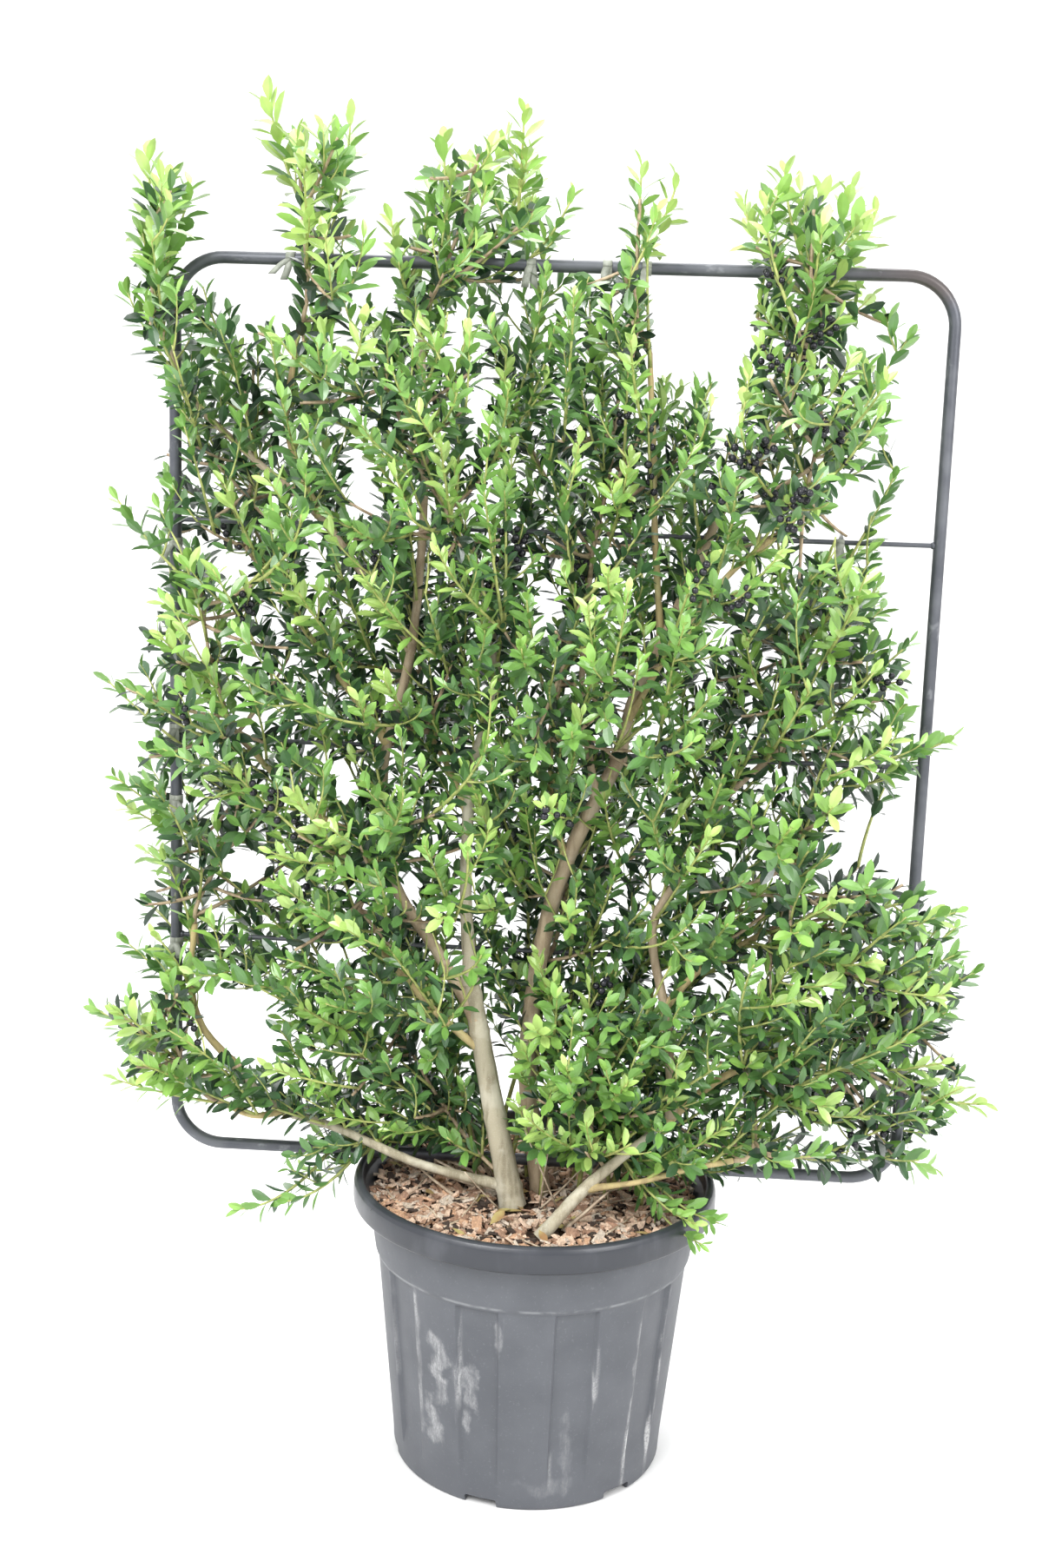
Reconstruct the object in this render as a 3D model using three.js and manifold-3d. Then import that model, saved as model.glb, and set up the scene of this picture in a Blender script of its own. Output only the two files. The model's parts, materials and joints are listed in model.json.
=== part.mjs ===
// Potted holly trained flat on a steel frame, with its pot and bark mulch.
// Millimetres, +Z up. The origin is the middle of the pot's flat underside, X runs along the frame
// and Y from the front of the plant to its back.
import * as THREE from "three";
import { mergeVertices } from "three/addons/utils/BufferGeometryUtils.js";
import Module from "manifold-3d";

const wasm = await Module();
wasm.setup();

// Clear space that neighbouring solids keep.
const gap = 0.3;

const pot = {
  height: 374,
  footRadius: 173,
  footChamfer: 5,
  shoulderRadius: 201,
  shoulderHeight: 277,
  shoulderStep: 4,
  neckRadius: 211,
  rimHeight: 33,
  rimRadius: 234,
  rimThickness: 13,
  rimRound: 5,
  wall: 3.2,
  dishRadius: 136,
  grooveWidth: 29,
  grooveHeight: 12,
  notches: 6,
  notchWidth: 42,
  notchHeight: 11,
  notchRadii: [156, 190],
  notchTurn: -105.5,
  lipDepth: 14,
  bandStep: 2,
  facets: 28,
};

const mulch = { top: 355, clearance: 0.4 };

const frame = {
  y: 22,
  left: -476,
  right: 463,
  top: 1512,
  tubeRadius: 7.5,
  bendRadius: 60,
  bendSteps: 4,
  rodRadius: 3,
  rodHeights: [664, 922, 1196],
  legs: [-140, 150],
  legRadius: 6,
  legDepth: 140,
  facets: 9,
};
frame.bottom = pot.height + frame.tubeRadius + gap;

// Trunks and boughs. A trunk stands on the mulch. A bough leaves its parent at a height, or at the
// parent's tip where no height is given, and runs by way of the named places to its tip.
const limbs = [
  {
    name: "trunk_front",
    radii: [16, 11.5],
    flare: 9,
    way: [[-25, -53, 350], [-56, -42, 486], [-88, -30, 632]],
  },
  {
    name: "trunk_rear",
    radii: [13, 9],
    flare: 7,
    way: [[8, -5, 350], [-14, -9, 534], [17, -9, 763], [85, -8, 922]],
  },
  {
    name: "trunk_right",
    radii: [13, 7.5],
    flare: 6,
    way: [[14, -136, 344], [71, -112, 406], [172, -70, 484]],
  },
  {
    name: "leader_front",
    parent: "trunk_front",
    radii: [9, 4.5],
    way: [[-98, -24, 760], [-93, -16, 908], [-68, -14, 1015], [-95, -12, 1150]],
  },
  {
    name: "bough_left_inner",
    parent: "trunk_front",
    at: 588,
    radii: [8, 4],
    way: [
      [-128, -34, 668],
      [-191, -22, 764],
      [-205, -16, 900],
      [-174, -14, 1050],
      [-162, -13, 1255],
      [-170, -10, 1420],
    ],
  },
  {
    name: "bough_left_diagonal",
    parent: "bough_left_inner",
    at: 1050,
    radii: [5.5, 3.6],
    way: [[-288, -10, 1204], [-380, -6, 1280], [-452, -14, 1350], [-482, -22, 1424]],
  },
  {
    name: "bough_left_high",
    parent: "bough_left_diagonal",
    at: 1206,
    radii: [4.2, 3.4],
    way: [[-330, -14, 1310], [-322, -12, 1402]],
  },
  {
    name: "bough_left_shoulder",
    parent: "bough_left_inner",
    at: 930,
    radii: [4.6, 3.4],
    way: [[-290, -22, 1050], [-368, -12, 1150]],
  },
  {
    name: "bough_left_mid",
    parent: "bough_left_inner",
    at: 800,
    radii: [4.8, 3.4],
    way: [[-290, -26, 842], [-372, -14, 915]],
  },
  {
    name: "bough_centre_left",
    parent: "leader_front",
    at: 845,
    radii: [4.2, 3.4],
    way: [[-122, -2, 895], [-146, 0, 935]],
  },
  {
    name: "bough_left_low",
    parent: "trunk_front",
    at: 545,
    radii: [5, 3.6],
    way: [[-130, -50, 600], [-218, -30, 686]],
  },
  {
    name: "bough_foot_left",
    parent: "trunk_front",
    at: 372,
    radii: [7.5, 5.6],
    way: [[-145, -48, 396], [-255, -32, 432], [-340, -18, 452], [-388, -16, 500]],
  },
  {
    name: "bough_foot_left_rise",
    parent: "bough_foot_left",
    radii: [5.2, 3.6],
    way: [[-436, -14, 556], [-449, -12, 610], [-444, -12, 688]],
  },
  {
    name: "bough_foot_left_side",
    parent: "bough_foot_left",
    at: 446,
    radii: [4, 3.2],
    way: [[-360, -46, 448], [-405, -40, 462]],
  },
  {
    name: "leader_rear",
    parent: "trunk_rear",
    radii: [8, 4],
    way: [[103, -8, 1004], [149, -10, 1109], [203, -10, 1241], [252, -10, 1310], [280, -8, 1405]],
  },
  {
    name: "bough_centre_high",
    parent: "leader_rear",
    at: 1070,
    radii: [4.4, 3.4],
    way: [[119, -16, 1190], [112, -16, 1300], [104, -10, 1395]],
  },
  {
    name: "bough_centre",
    parent: "trunk_rear",
    at: 868,
    radii: [5, 3.4],
    way: [[38, -26, 1010], [42, -14, 1145]],
  },
  {
    name: "bough_right_shoot",
    parent: "leader_rear",
    at: 968,
    radii: [4.4, 3.4],
    way: [[150, -42, 1078], [212, -36, 1160], [264, -24, 1204]],
  },
  {
    name: "bough_centre_mid",
    parent: "trunk_rear",
    at: 790,
    radii: [4.4, 3.4],
    way: [[6, -30, 870], [2, -24, 935]],
  },
  {
    name: "bough_right",
    parent: "trunk_right",
    radii: [6.6, 4],
    way: [[160, -52, 600], [138, -30, 720], [184, -20, 806], [214, -16, 874], [270, -12, 932]],
  },
  {
    name: "bough_right_mid",
    parent: "bough_right",
    at: 620,
    radii: [4.4, 3.4],
    way: [[205, -34, 672], [272, -22, 712]],
  },
  {
    name: "bough_right_low",
    parent: "trunk_right",
    at: 474,
    radii: [5.4, 3.6],
    way: [[228, -50, 530], [309, -28, 557], [372, -20, 540]],
  },
  {
    name: "bough_front_right",
    parent: "trunk_right",
    at: 402,
    radii: [4, 3.2],
    way: [[133, -116, 416], [190, -104, 430], [248, -90, 440]],
  },
];
const limbShape = {
  trunkSides: 9,
  boughSides: 6,
  twigSides: 5,
  tipSides: 24,
  thin: 5.5,
  step: 75,
  fewestSteps: 4,
  flareLength: 22,
  sunk: 2,
};

// Masses of leaves: the limb that each grows from (at a height, where it isn't the limb's tip), the
// middle of its space, its half sizes and the furthest leaf tips that show in the crown's outline.
const masses = [
  {
    name: "leaves_top_far_left",
    from: "bough_left_diagonal",
    middle: [-482, -36, 1490],
    half: [64, 84, 142],
    tips: [[-504, 0, 1628], [-521, -30, 1471], [-458, 20, 1602]],
  },
  {
    name: "leaves_top_left",
    from: "bough_left_high",
    middle: [-312, -40, 1545],
    half: [98, 112, 158],
    tips: [[-359, 0, 1698], [-264, 20, 1676], [-232, 30, 1560]],
  },
  {
    name: "leaves_top_centre",
    from: "bough_left_inner",
    middle: [-112, 45, 1545],
    half: [124, 128, 155],
    tips: [[-56, 0, 1692], [-152, 16, 1658], [-206, -30, 1560], [4, 20, 1602]],
  },
  {
    name: "leaves_top_right_centre",
    from: "bough_centre_high",
    middle: [78, -40, 1505],
    half: [82, 105, 132],
    tips: [[84, 0, 1632], [128, 30, 1626]],
  },
  {
    name: "leaves_top_right",
    from: "leader_rear",
    middle: [288, 40, 1500],
    half: [120, 120, 138],
    tips: [[250, 0, 1631], [330, 10, 1612], [407, -10, 1450], [206, 20, 1592], [360, 20, 1585]],
    berries: 4,
  },
  {
    name: "leaves_left_upper",
    from: "bough_left_shoulder",
    middle: [-402, 45, 1278],
    half: [136, 130, 172],
    tips: [[-544, 0, 1226], [-432, -20, 1480]],
  },
  {
    name: "leaves_centre_left_upper",
    from: "leader_front",
    middle: [-190, -50, 1285],
    half: [150, 160, 165],
    tips: [],
  },
  {
    name: "leaves_centre_upper",
    from: "bough_centre",
    middle: [56, 50, 1280],
    half: [142, 160, 160],
    tips: [],
    berries: 2,
  },
  {
    name: "leaves_right_upper",
    from: "bough_right_shoot",
    middle: [290, -50, 1275],
    half: [142, 150, 155],
    tips: [[403, 0, 1290]],
    berries: 3,
  },
  {
    name: "leaves_left_mid",
    from: "bough_left_mid",
    middle: [-412, -45, 1022],
    half: [150, 135, 160],
    tips: [[-557, 0, 999], [-542, -20, 880]],
    berries: 2,
  },
  {
    name: "leaves_centre_left_mid",
    from: "bough_centre_left",
    middle: [-184, 50, 1025],
    half: [150, 165, 165],
    tips: [],
  },
  {
    name: "leaves_centre_mid",
    from: "bough_centre_mid",
    middle: [58, -50, 1020],
    half: [150, 165, 165],
    tips: [],
  },
  {
    name: "leaves_right_mid",
    from: "bough_right",
    middle: [305, 50, 1025],
    half: [160, 155, 165],
    tips: [[432, 0, 1085], [488, -10, 972]],
  },
  {
    name: "leaves_left_low",
    from: "bough_foot_left_rise",
    middle: [-405, 45, 780],
    half: [146, 130, 165],
    tips: [[-537, 0, 842], [-538, -10, 668]],
  },
  {
    name: "leaves_centre_left_low",
    from: "bough_left_low",
    middle: [-190, -50, 770],
    half: [145, 160, 165],
    tips: [],
  },
  {
    name: "leaves_centre_low",
    from: "trunk_rear",
    at: 650,
    middle: [36, 55, 765],
    half: [130, 150, 160],
    tips: [],
  },
  {
    name: "leaves_right_low",
    from: "bough_right_mid",
    middle: [312, -45, 755],
    half: [190, 155, 175],
    tips: [[512, 0, 752]],
  },
  {
    name: "leaves_left_foot",
    from: "bough_foot_left_side",
    middle: [-452, -40, 520],
    half: [136, 118, 142],
    tips: [[-577, 0, 570], [-545, -10, 478], [-372, -60, 332]],
  },
  {
    name: "leaves_centre_left_foot",
    from: "trunk_front",
    at: 384,
    middle: [-225, 40, 495],
    half: [160, 135, 160],
    tips: [[-318, -60, 345]],
  },
  {
    name: "leaves_front_foot",
    from: "trunk_right",
    at: 424,
    middle: [80, -84, 515],
    half: [110, 95, 145],
    tips: [],
  },
  {
    name: "leaves_right_foot",
    from: "bough_front_right",
    middle: [258, -20, 490],
    half: [140, 135, 150],
    tips: [[212, -152, 362]],
  },
  {
    name: "leaves_far_right_foot",
    from: "bough_right_low",
    middle: [436, 45, 550],
    half: [142, 132, 172],
    tips: [[567, 0, 505], [511, 10, 412], [540, -10, 679]],
  },
];

const growth = {
  stemRadius: 3.2,
  stemSteps: 3,
  stemSunk: 1,
  stemTries: 60,
  stemTop: 0.55,
  stemRise: 0.5,
  stemStray: 0.25,
  stemCheck: 30,
  straightFoot: 22,
  twigRadius: 1.5,
  twigTries: 60,
  twigsPerArea: 0.00033,
  fewestTwigs: 4,
  shortestTwig: 16,
  lowestRise: -0.75,
  twigRootLength: 12,
  twigShares: [0.1, 0.95],
  leastLeafRoom: 0.6,
  leafLength: 150,
  leafShare: 0.92,
  leafSizes: [1, 0.8, 0.62],
  leafBreadth: 0.66,
  leafThickness: 0.025,
  leafBroadest: 0.54,
  leafSunk: 0.8,
  leafSpread: 1.1,
  leafTurn: 0.5,
  leafShares: [0.15, 0.95],
  endLeafFace: [0, -0.8, 0.6],
  leafTries: 100,
  leafFacing: 1.4,
  depthWeight: 0.45,
  leavesPerArea: 0.00072,
  berryRadius: 8,
  berryShare: 0.6,
  berryHang: 0.7,
  limbClearance: 5,
  leafClearance: 6,
  twigClearance: 1,
  cellMargin: 1,
  nearMargin: 60,
  fieldStep: 8,
  roundness: 4,
};

const looks = {
  plastic: { color: 0x50535a, roughness: 0.55, metalness: 0 },
  mulch: { color: 0x8a6a4c, roughness: 0.95, metalness: 0 },
  steel: { color: 0x666c75, roughness: 0.5, metalness: 0.6 },
  bark: { color: 0xa59f86, roughness: 0.85, metalness: 0 },
  leaves: { color: 0x3d6b2c, roughness: 0.4, metalness: 0 },
};
const group = new THREE.Group();

// A repeatable stream of numbers from 0 to 1.
function seeded(seed) {
  let state = seed * 2654435761 % 4294967296;
  return () => {
    state = (state * 1664525 + 1013904223) % 4294967296;
    return state / 4294967296;
  };
}

function vector(place) {
  return new THREE.Vector3(...place);
}

function bare(geometry) {
  geometry.deleteAttribute("normal");
  geometry.deleteAttribute("uv");
  return mergeVertices(geometry, 1e-4);
}

function solid(geometry) {
  const merged = bare(geometry);
  return new wasm.Manifold(
    new wasm.Mesh({
      numProp: 3,
      vertProperties: merged.attributes.position.array,
      triVerts: new Uint32Array(merged.index.array),
    }),
  );
}

function geometryOf(body) {
  const mesh = body.getMesh();
  const geometry = new THREE.BufferGeometry();
  geometry.setAttribute("position", new THREE.BufferAttribute(mesh.vertProperties, 3));
  geometry.setIndex(new THREE.BufferAttribute(mesh.triVerts, 1));
  return geometry;
}

// The body without the loose scraps that a cut leaves.
function whole(body) {
  const parts = body.decompose().sort((one, other) => other.volume() - one.volume());
  return parts[0];
}

function place(name, body, look) {
  const material = new THREE.MeshStandardMaterial(look);
  const mesh = new THREE.Mesh(geometryOf(body), material);
  mesh.name = name;
  group.add(mesh);
}

// A profile of [radius, height] points turned about the upright axis.
function turned(profile, facets) {
  const points = profile.map(([radius, height]) => new THREE.Vector2(radius, height));
  const geometry = new THREE.LatheGeometry(points, facets);
  geometry.rotateX(Math.PI / 2);
  return solid(geometry);
}

// A straight round bar between two places, longer by extra at each end.
function bar(from, to, radius, facets, extra = 0) {
  const along = to.clone().sub(from);
  const geometry = new THREE.CylinderGeometry(radius, radius, along.length() + 2 * extra, facets);
  const turn = new THREE.Quaternion().setFromUnitVectors(new THREE.Vector3(0, 1, 0), along.normalize());
  geometry.applyQuaternion(turn);
  const centre = from.clone().add(to).multiplyScalar(0.5);
  geometry.translate(centre.x, centre.y, centre.z);
  return solid(geometry);
}

// A closed tube that follows a curve: a straight prism of unit radius and length, bent along the
// curve, with its radius set step by step.
function bent(curve, radiusAt, sides, steps) {
  const corner = (i) => (2 * Math.PI * i) / sides;
  const outline = new THREE.Shape(
    Array.from({ length: sides }, (_, i) => new THREE.Vector2(Math.cos(corner(i)), Math.sin(corner(i)))),
  );
  const geometry = new THREE.ExtrudeGeometry(outline, { depth: 1, steps, bevelEnabled: false });
  const frames = curve.computeFrenetFrames(steps, false);
  const position = geometry.attributes.position;
  const spot = new THREE.Vector3();
  for (let i = 0; i < position.count; i++) {
    const step = Math.round(position.getZ(i) * steps);
    const radius = radiusAt(step / steps);
    spot.copy(curve.getPointAt(step / steps));
    spot.addScaledVector(frames.normals[step], position.getX(i) * radius);
    spot.addScaledVector(frames.binormals[step], position.getY(i) * radius);
    position.setXYZ(i, spot.x, spot.y, spot.z);
  }
  return solid(geometry);
}

// The pot's wall seen from the side, from the axis out, up to the rim and back down inside.
function potOutside() {
  const dish = pot.dishRadius;
  const groove = dish + pot.grooveWidth;
  const rimFoot = pot.height - pot.rimHeight;
  return [
    [0, 0],
    [dish, 0],
    [dish + pot.bandStep, pot.grooveHeight],
    [groove - pot.bandStep, pot.grooveHeight],
    [groove, 0],
    [pot.footRadius - pot.footChamfer / 2, 0],
    [pot.footRadius + pot.footChamfer / 2, pot.footChamfer],
    [pot.shoulderRadius, pot.shoulderHeight],
    [pot.shoulderRadius + pot.shoulderStep, pot.shoulderHeight + pot.shoulderStep],
    [pot.neckRadius, rimFoot - pot.bandStep],
    [pot.rimRadius, rimFoot],
    [pot.rimRadius, pot.height - pot.rimRound],
    [pot.rimRadius - pot.rimRound, pot.height],
    [pot.rimRadius - pot.rimThickness, pot.height],
  ];
}

function potInside() {
  const wall = pot.wall;
  const floor = pot.grooveHeight + wall;
  const rimFoot = pot.height - pot.rimHeight;
  return [
    [pot.rimRadius - pot.rimThickness, pot.height - pot.lipDepth],
    [pot.neckRadius - wall, rimFoot - pot.bandStep],
    [pot.shoulderRadius + pot.shoulderStep - wall, pot.shoulderHeight + pot.shoulderStep],
    [pot.shoulderRadius - wall, pot.shoulderHeight],
    [pot.footRadius - wall, floor],
    [pot.dishRadius - wall / 2, floor],
    [pot.dishRadius - wall, wall],
    [0, wall],
  ];
}

function addPot() {
  let body = turned([...potOutside(), ...potInside()], pot.facets);
  for (let i = 0; i < pot.notches; i++) {
    const [inner, outer] = pot.notchRadii;
    const cut = new THREE.BoxGeometry(outer - inner, pot.notchWidth, 2 * pot.notchHeight);
    cut.translate((inner + outer) / 2, 0, 0);
    cut.rotateZ(THREE.MathUtils.degToRad(pot.notchTurn + (360 / pot.notches) * i));
    body = body.subtract(solid(cut));
  }
  place("pot", body, looks.plastic);
}

// The bark mulch and the root ball under it fill the pot, with a hole for each leg of the frame.
function addMulch(legs) {
  const inside = potInside().reverse();
  const last = inside.length - 1;
  const [rimInside, rimLevel] = inside[last];
  const [neck, neckLevel] = inside[last - 1];
  const share = (mulch.top - neckLevel) / (rimLevel - neckLevel);
  inside[last] = [neck + (rimInside - neck) * share, mulch.top - mulch.clearance];
  const profile = inside.map(([radius, height]) => [
    Math.max(0, radius - mulch.clearance),
    height + mulch.clearance,
  ]);
  profile.push([0, mulch.top]);
  let body = turned(profile, pot.facets);
  for (const leg of legs) body = body.subtract(leg);
  place("mulch", body, looks.mulch);
}

// The frame: four tubes, a bend at each corner, three rods across and two legs in the root ball.
// Each bar is also kept as a line with a radius, so that limbs and leaves can keep clear of it.
const bars = [];

function addFrame() {
  const { left, right, top, bottom, y, bendRadius, tubeRadius, facets } = frame;
  const at = (x, z) => new THREE.Vector3(x, y, z);
  const tube = (name, from, to, radius = tubeRadius) => {
    const along = to.clone().sub(from).normalize().multiplyScalar(gap / 2);
    place(name, bar(from.clone().add(along), to.clone().sub(along), radius, facets), looks.steel);
    bars.push({ from, to, radius });
  };
  tube("frame_left", at(left, bottom + bendRadius), at(left, top - bendRadius));
  tube("frame_right", at(right, bottom + bendRadius), at(right, top - bendRadius));
  tube("frame_top", at(left + bendRadius, top), at(right - bendRadius, top));
  tube("frame_bottom", at(left + bendRadius, bottom), at(right - bendRadius, bottom));

  const corners = [
    ["frame_bend_top_left", left + bendRadius, top - bendRadius, 90],
    ["frame_bend_top_right", right - bendRadius, top - bendRadius, 0],
    ["frame_bend_bottom_left", left + bendRadius, bottom + bendRadius, 180],
    ["frame_bend_bottom_right", right - bendRadius, bottom + bendRadius, 270],
  ];
  const short = gap / 2 / bendRadius;
  for (const [name, x, z, turn] of corners) {
    const start = THREE.MathUtils.degToRad(turn);
    const curve = new THREE.Curve();
    curve.getPoint = (share) => {
      const angle = start + short + share * (Math.PI / 2 - 2 * short);
      return at(x + bendRadius * Math.cos(angle), z + bendRadius * Math.sin(angle));
    };
    place(name, bent(curve, () => tubeRadius, facets, frame.bendSteps), looks.steel);
    const spots = curve.getSpacedPoints(frame.bendSteps);
    for (let i = 1; i < spots.length; i++) {
      bars.push({ from: spots[i - 1], to: spots[i], radius: tubeRadius });
    }
  }

  const uprights = [left, right].map((x) => bar(at(x, bottom), at(x, top), tubeRadius + gap, facets));
  frame.rodHeights.forEach((z, i) => {
    let rod = bar(at(left, z), at(right, z), frame.rodRadius, facets);
    for (const upright of uprights) rod = rod.subtract(upright);
    place(`frame_rod_${i + 1}`, rod, looks.steel);
    bars.push({ from: at(left, z), to: at(right, z), radius: frame.rodRadius });
  });

  const rail = bar(at(left, bottom), at(right, bottom), tubeRadius + gap, facets);
  const holes = [];
  frame.legs.forEach((x, i) => {
    const foot = at(x, mulch.top - frame.legDepth);
    const head = at(x, bottom);
    place(`frame_leg_${i + 1}`, bar(foot, head, frame.legRadius, facets).subtract(rail), looks.steel);
    holes.push(bar(foot, head, frame.legRadius + gap, facets, gap));
    bars.push({ from: foot, to: head, radius: frame.legRadius });
  });
  return holes;
}

function curveThrough(places) {
  return new THREE.CatmullRomCurve3(places, false, "centripetal");
}

// The share of the curve's length where it first reaches a height.
function shareAtHeight(curve, height) {
  const count = 400;
  for (let i = 0; i <= count; i++) if (curve.getPointAt(i / count).z >= height) return i / count;
  return 1;
}

// A place on the straight pieces that stand for the curve in a bent prism.
function onPieces(curve, steps, share) {
  const piece = Math.min(steps - 1, Math.floor(share * steps));
  const from = curve.getPointAt(piece / steps);
  return from.lerp(curve.getPointAt((piece + 1) / steps), share * steps - piece);
}

function shapeLimb(limb, byName) {
  const parent = byName.get(limb.parent);
  const places = limb.way.map(vector);
  if (parent) {
    const share = limb.at ? shareAtHeight(parent.curve, limb.at) : 1;
    const start = onPieces(parent.curve, parent.steps, share);
    if (!limb.at) start.addScaledVector(parent.curve.getTangentAt(1), -limbShape.sunk);
    places.unshift(start);
  }
  limb.curve = curveThrough(places);
  limb.steps = Math.max(limbShape.fewestSteps, Math.round(limb.curve.getLength() / limbShape.step));
  const [foot, tip] = limb.radii;
  const { trunkSides, boughSides, twigSides, thin } = limbShape;
  const sides = !parent ? trunkSides : foot > thin ? boughSides : twigSides;
  const length = limb.curve.getLength();
  const radiusAt = (share) => {
    const flare = (limb.flare || 0) * Math.exp((-share * length) / limbShape.flareLength);
    return foot + (tip - foot) * share + flare;
  };
  limb.radiusAt = radiusAt;
  limb.body = bent(limb.curve, radiusAt, sides, limb.steps);
  limb.grown = grownLimb(limb, sides);
  if (parent) {
    for (const other of byName.values()) limb.body = limb.body.subtract(other.grown);
    limb.body = whole(limb.body);
  } else {
    const below = new THREE.BoxGeometry(pot.height, pot.height, pot.height);
    below.translate(places[0].x, places[0].y, mulch.top + gap - pot.height / 2);
    limb.body = limb.body.subtract(solid(below));
  }
}

// The limb with a skin of the gap's thickness on its sides and its tip.
function grownLimb(limb, sides) {
  const sideways = gap / Math.cos(Math.PI / sides);
  const body = bent(limb.curve, (share) => limb.radiusAt(share) + sideways, sides, limb.steps);
  const tip = limb.curve.getPointAt(1);
  const along = limb.curve.getTangentAt(1);
  const radius = limb.radiusAt(1) + sideways;
  const cap = bar(
    tip.clone().addScaledVector(along, -limbShape.sunk / 2),
    tip.clone().addScaledVector(along, gap),
    radius,
    limbShape.tipSides,
  );
  return body.add(cap);
}

function addLimbs() {
  const byName = new Map();
  for (const limb of limbs) {
    shapeLimb(limb, byName);
    byName.set(limb.name, limb);
    place(limb.name, limb.body, looks.bark);
  }
  return byName;
}

function limbBars(limb) {
  const lines = [];
  for (let i = 0; i < limb.steps; i++) {
    lines.push({
      from: limb.curve.getPointAt(i / limb.steps),
      to: limb.curve.getPointAt((i + 1) / limb.steps),
      radius: Math.max(limb.radiusAt(i / limb.steps), limb.radiusAt((i + 1) / limb.steps)),
      limb: limb.name,
    });
  }
  return lines;
}

// How far a place is from a bar's surface.
function clearOf(spot, line) {
  const along = line.to.clone().sub(line.from);
  const share = THREE.MathUtils.clamp(
    spot.clone().sub(line.from).dot(along) / along.lengthSq(),
    0,
    1,
  );
  return spot.distanceTo(line.from.clone().addScaledVector(along, share)) - line.radius;
}

// The flat walls that part one mass's space from the others': each stands between two middles, in
// proportion to the two masses' reach that way.
function wallsOf(mass) {
  const walls = [];
  for (const other of masses) {
    if (other === mass) continue;
    const way = vector(other.middle).sub(vector(mass.middle));
    const distance = way.length();
    way.normalize();
    const reach = (m) => Math.hypot(m.half[0] * way.x, m.half[1] * way.y, m.half[2] * way.z);
    const share = reach(mass) / (reach(mass) + reach(other));
    walls.push({ way, limit: vector(mass.middle).dot(way) + distance * share - growth.cellMargin });
  }
  return walls;
}

function insideWalls(spot, mass) {
  return mass.walls.every((wall) => spot.dot(wall.way) < wall.limit);
}

// A mass keeps to a rounded box round its middle, cut off by its walls.
function insideSpace(spot, mass) {
  const offset = spot.clone().sub(vector(mass.middle)).divide(vector(mass.half)).toArray();
  const outward = offset.reduce((sum, share) => sum + Math.abs(share) ** growth.roundness, 0);
  return outward < 1 && insideWalls(spot, mass);
}

// Leaves stay over the mulch inside the pot, over its rim, or outside it.
function clearOfPot(spot) {
  const radius = Math.hypot(spot.x, spot.y);
  if (radius > pot.rimRadius + growth.limbClearance) return true;
  if (radius > pot.rimRadius - pot.rimThickness - growth.limbClearance)
    return spot.z > pot.height + growth.limbClearance;
  return spot.z > mulch.top + growth.limbClearance;
}

function clearOfLimbs(spot, mass, ownLimb) {
  return mass.near.every(
    (line) => (ownLimb && line.limb === ownLimb) || clearOf(spot, line) > growth.limbClearance,
  );
}

function clearOfLeaves(spot, mass) {
  const least = growth.leafClearance ** 2;
  return mass.leafSpots.every((other) => spot.distanceToSquared(other) > least);
}

function clearOfTwigs(spot, mass, ownTwig) {
  return mass.twigBars.every((line) => line.twig === ownTwig || clearOf(spot, line) > growth.twigClearance);
}

// How far the space reaches from a place in a direction.
function reachOf(mass, from, way) {
  let reach = 0;
  const spot = from.clone().addScaledVector(way, growth.fieldStep);
  while (insideSpace(spot, mass)) {
    reach += growth.fieldStep;
    spot.addScaledVector(way, growth.fieldStep);
  }
  return reach;
}

// A leaf lies along one direction with its face turned to another.
function leafAxes(root, along, face, length) {
  const side = new THREE.Vector3().crossVectors(face, along).normalize();
  const up = new THREE.Vector3().crossVectors(along, side).normalize();
  return { root, along, side, up, length };
}

// Places spread over a leaf's blade from its root to its tip. Those in the first tenth or so are
// too near the twig to be kept clear of it.
function leafField(leaf) {
  const steps = Math.ceil(leaf.length / growth.fieldStep);
  const spots = [];
  for (let i = 1; i <= steps; i++) {
    const share = i / steps;
    const { leafBroadest } = growth;
    const width = share < leafBroadest ? share / leafBroadest : (1 - share) / (1 - leafBroadest);
    const half = (width * leaf.length * growth.leafBreadth) / 2;
    const across = Math.max(1, Math.ceil(half / growth.fieldStep));
    for (let j = -across; j <= across; j++) {
      const spot = leaf.root
        .clone()
        .addScaledVector(leaf.along, share * leaf.length)
        .addScaledVector(leaf.side, (half * j) / across);
      spot.nearRoot = i === 1;
      spots.push(spot);
    }
  }
  return spots;
}

// A leaf of eight faces: root, tip, both edges, and a ridge above and below near the root.
function leafBody(leaf) {
  const { leafBreadth, leafThickness, leafBroadest, leafSunk } = growth;
  const geometry = new THREE.OctahedronGeometry(1);
  const position = geometry.attributes.position;
  for (let i = 0; i < position.count; i++) {
    const lengthways = position.getX(i);
    const thick = position.getZ(i);
    const middle = Math.abs(thick) > 0.5 ? leafBroadest / 2 : leafBroadest;
    const share = lengthways > 0.5 ? 1 : lengthways < -0.5 ? 0 : middle;
    const spot = leaf.root
      .clone()
      .addScaledVector(leaf.along, share * (leaf.length + leafSunk) - leafSunk)
      .addScaledVector(leaf.side, (position.getY(i) * leaf.length * leafBreadth) / 2)
      .addScaledVector(leaf.up, (thick * leaf.length * leafThickness) / 2);
    position.setXYZ(i, spot.x, spot.y, spot.z);
  }
  return solid(geometry);
}

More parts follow.
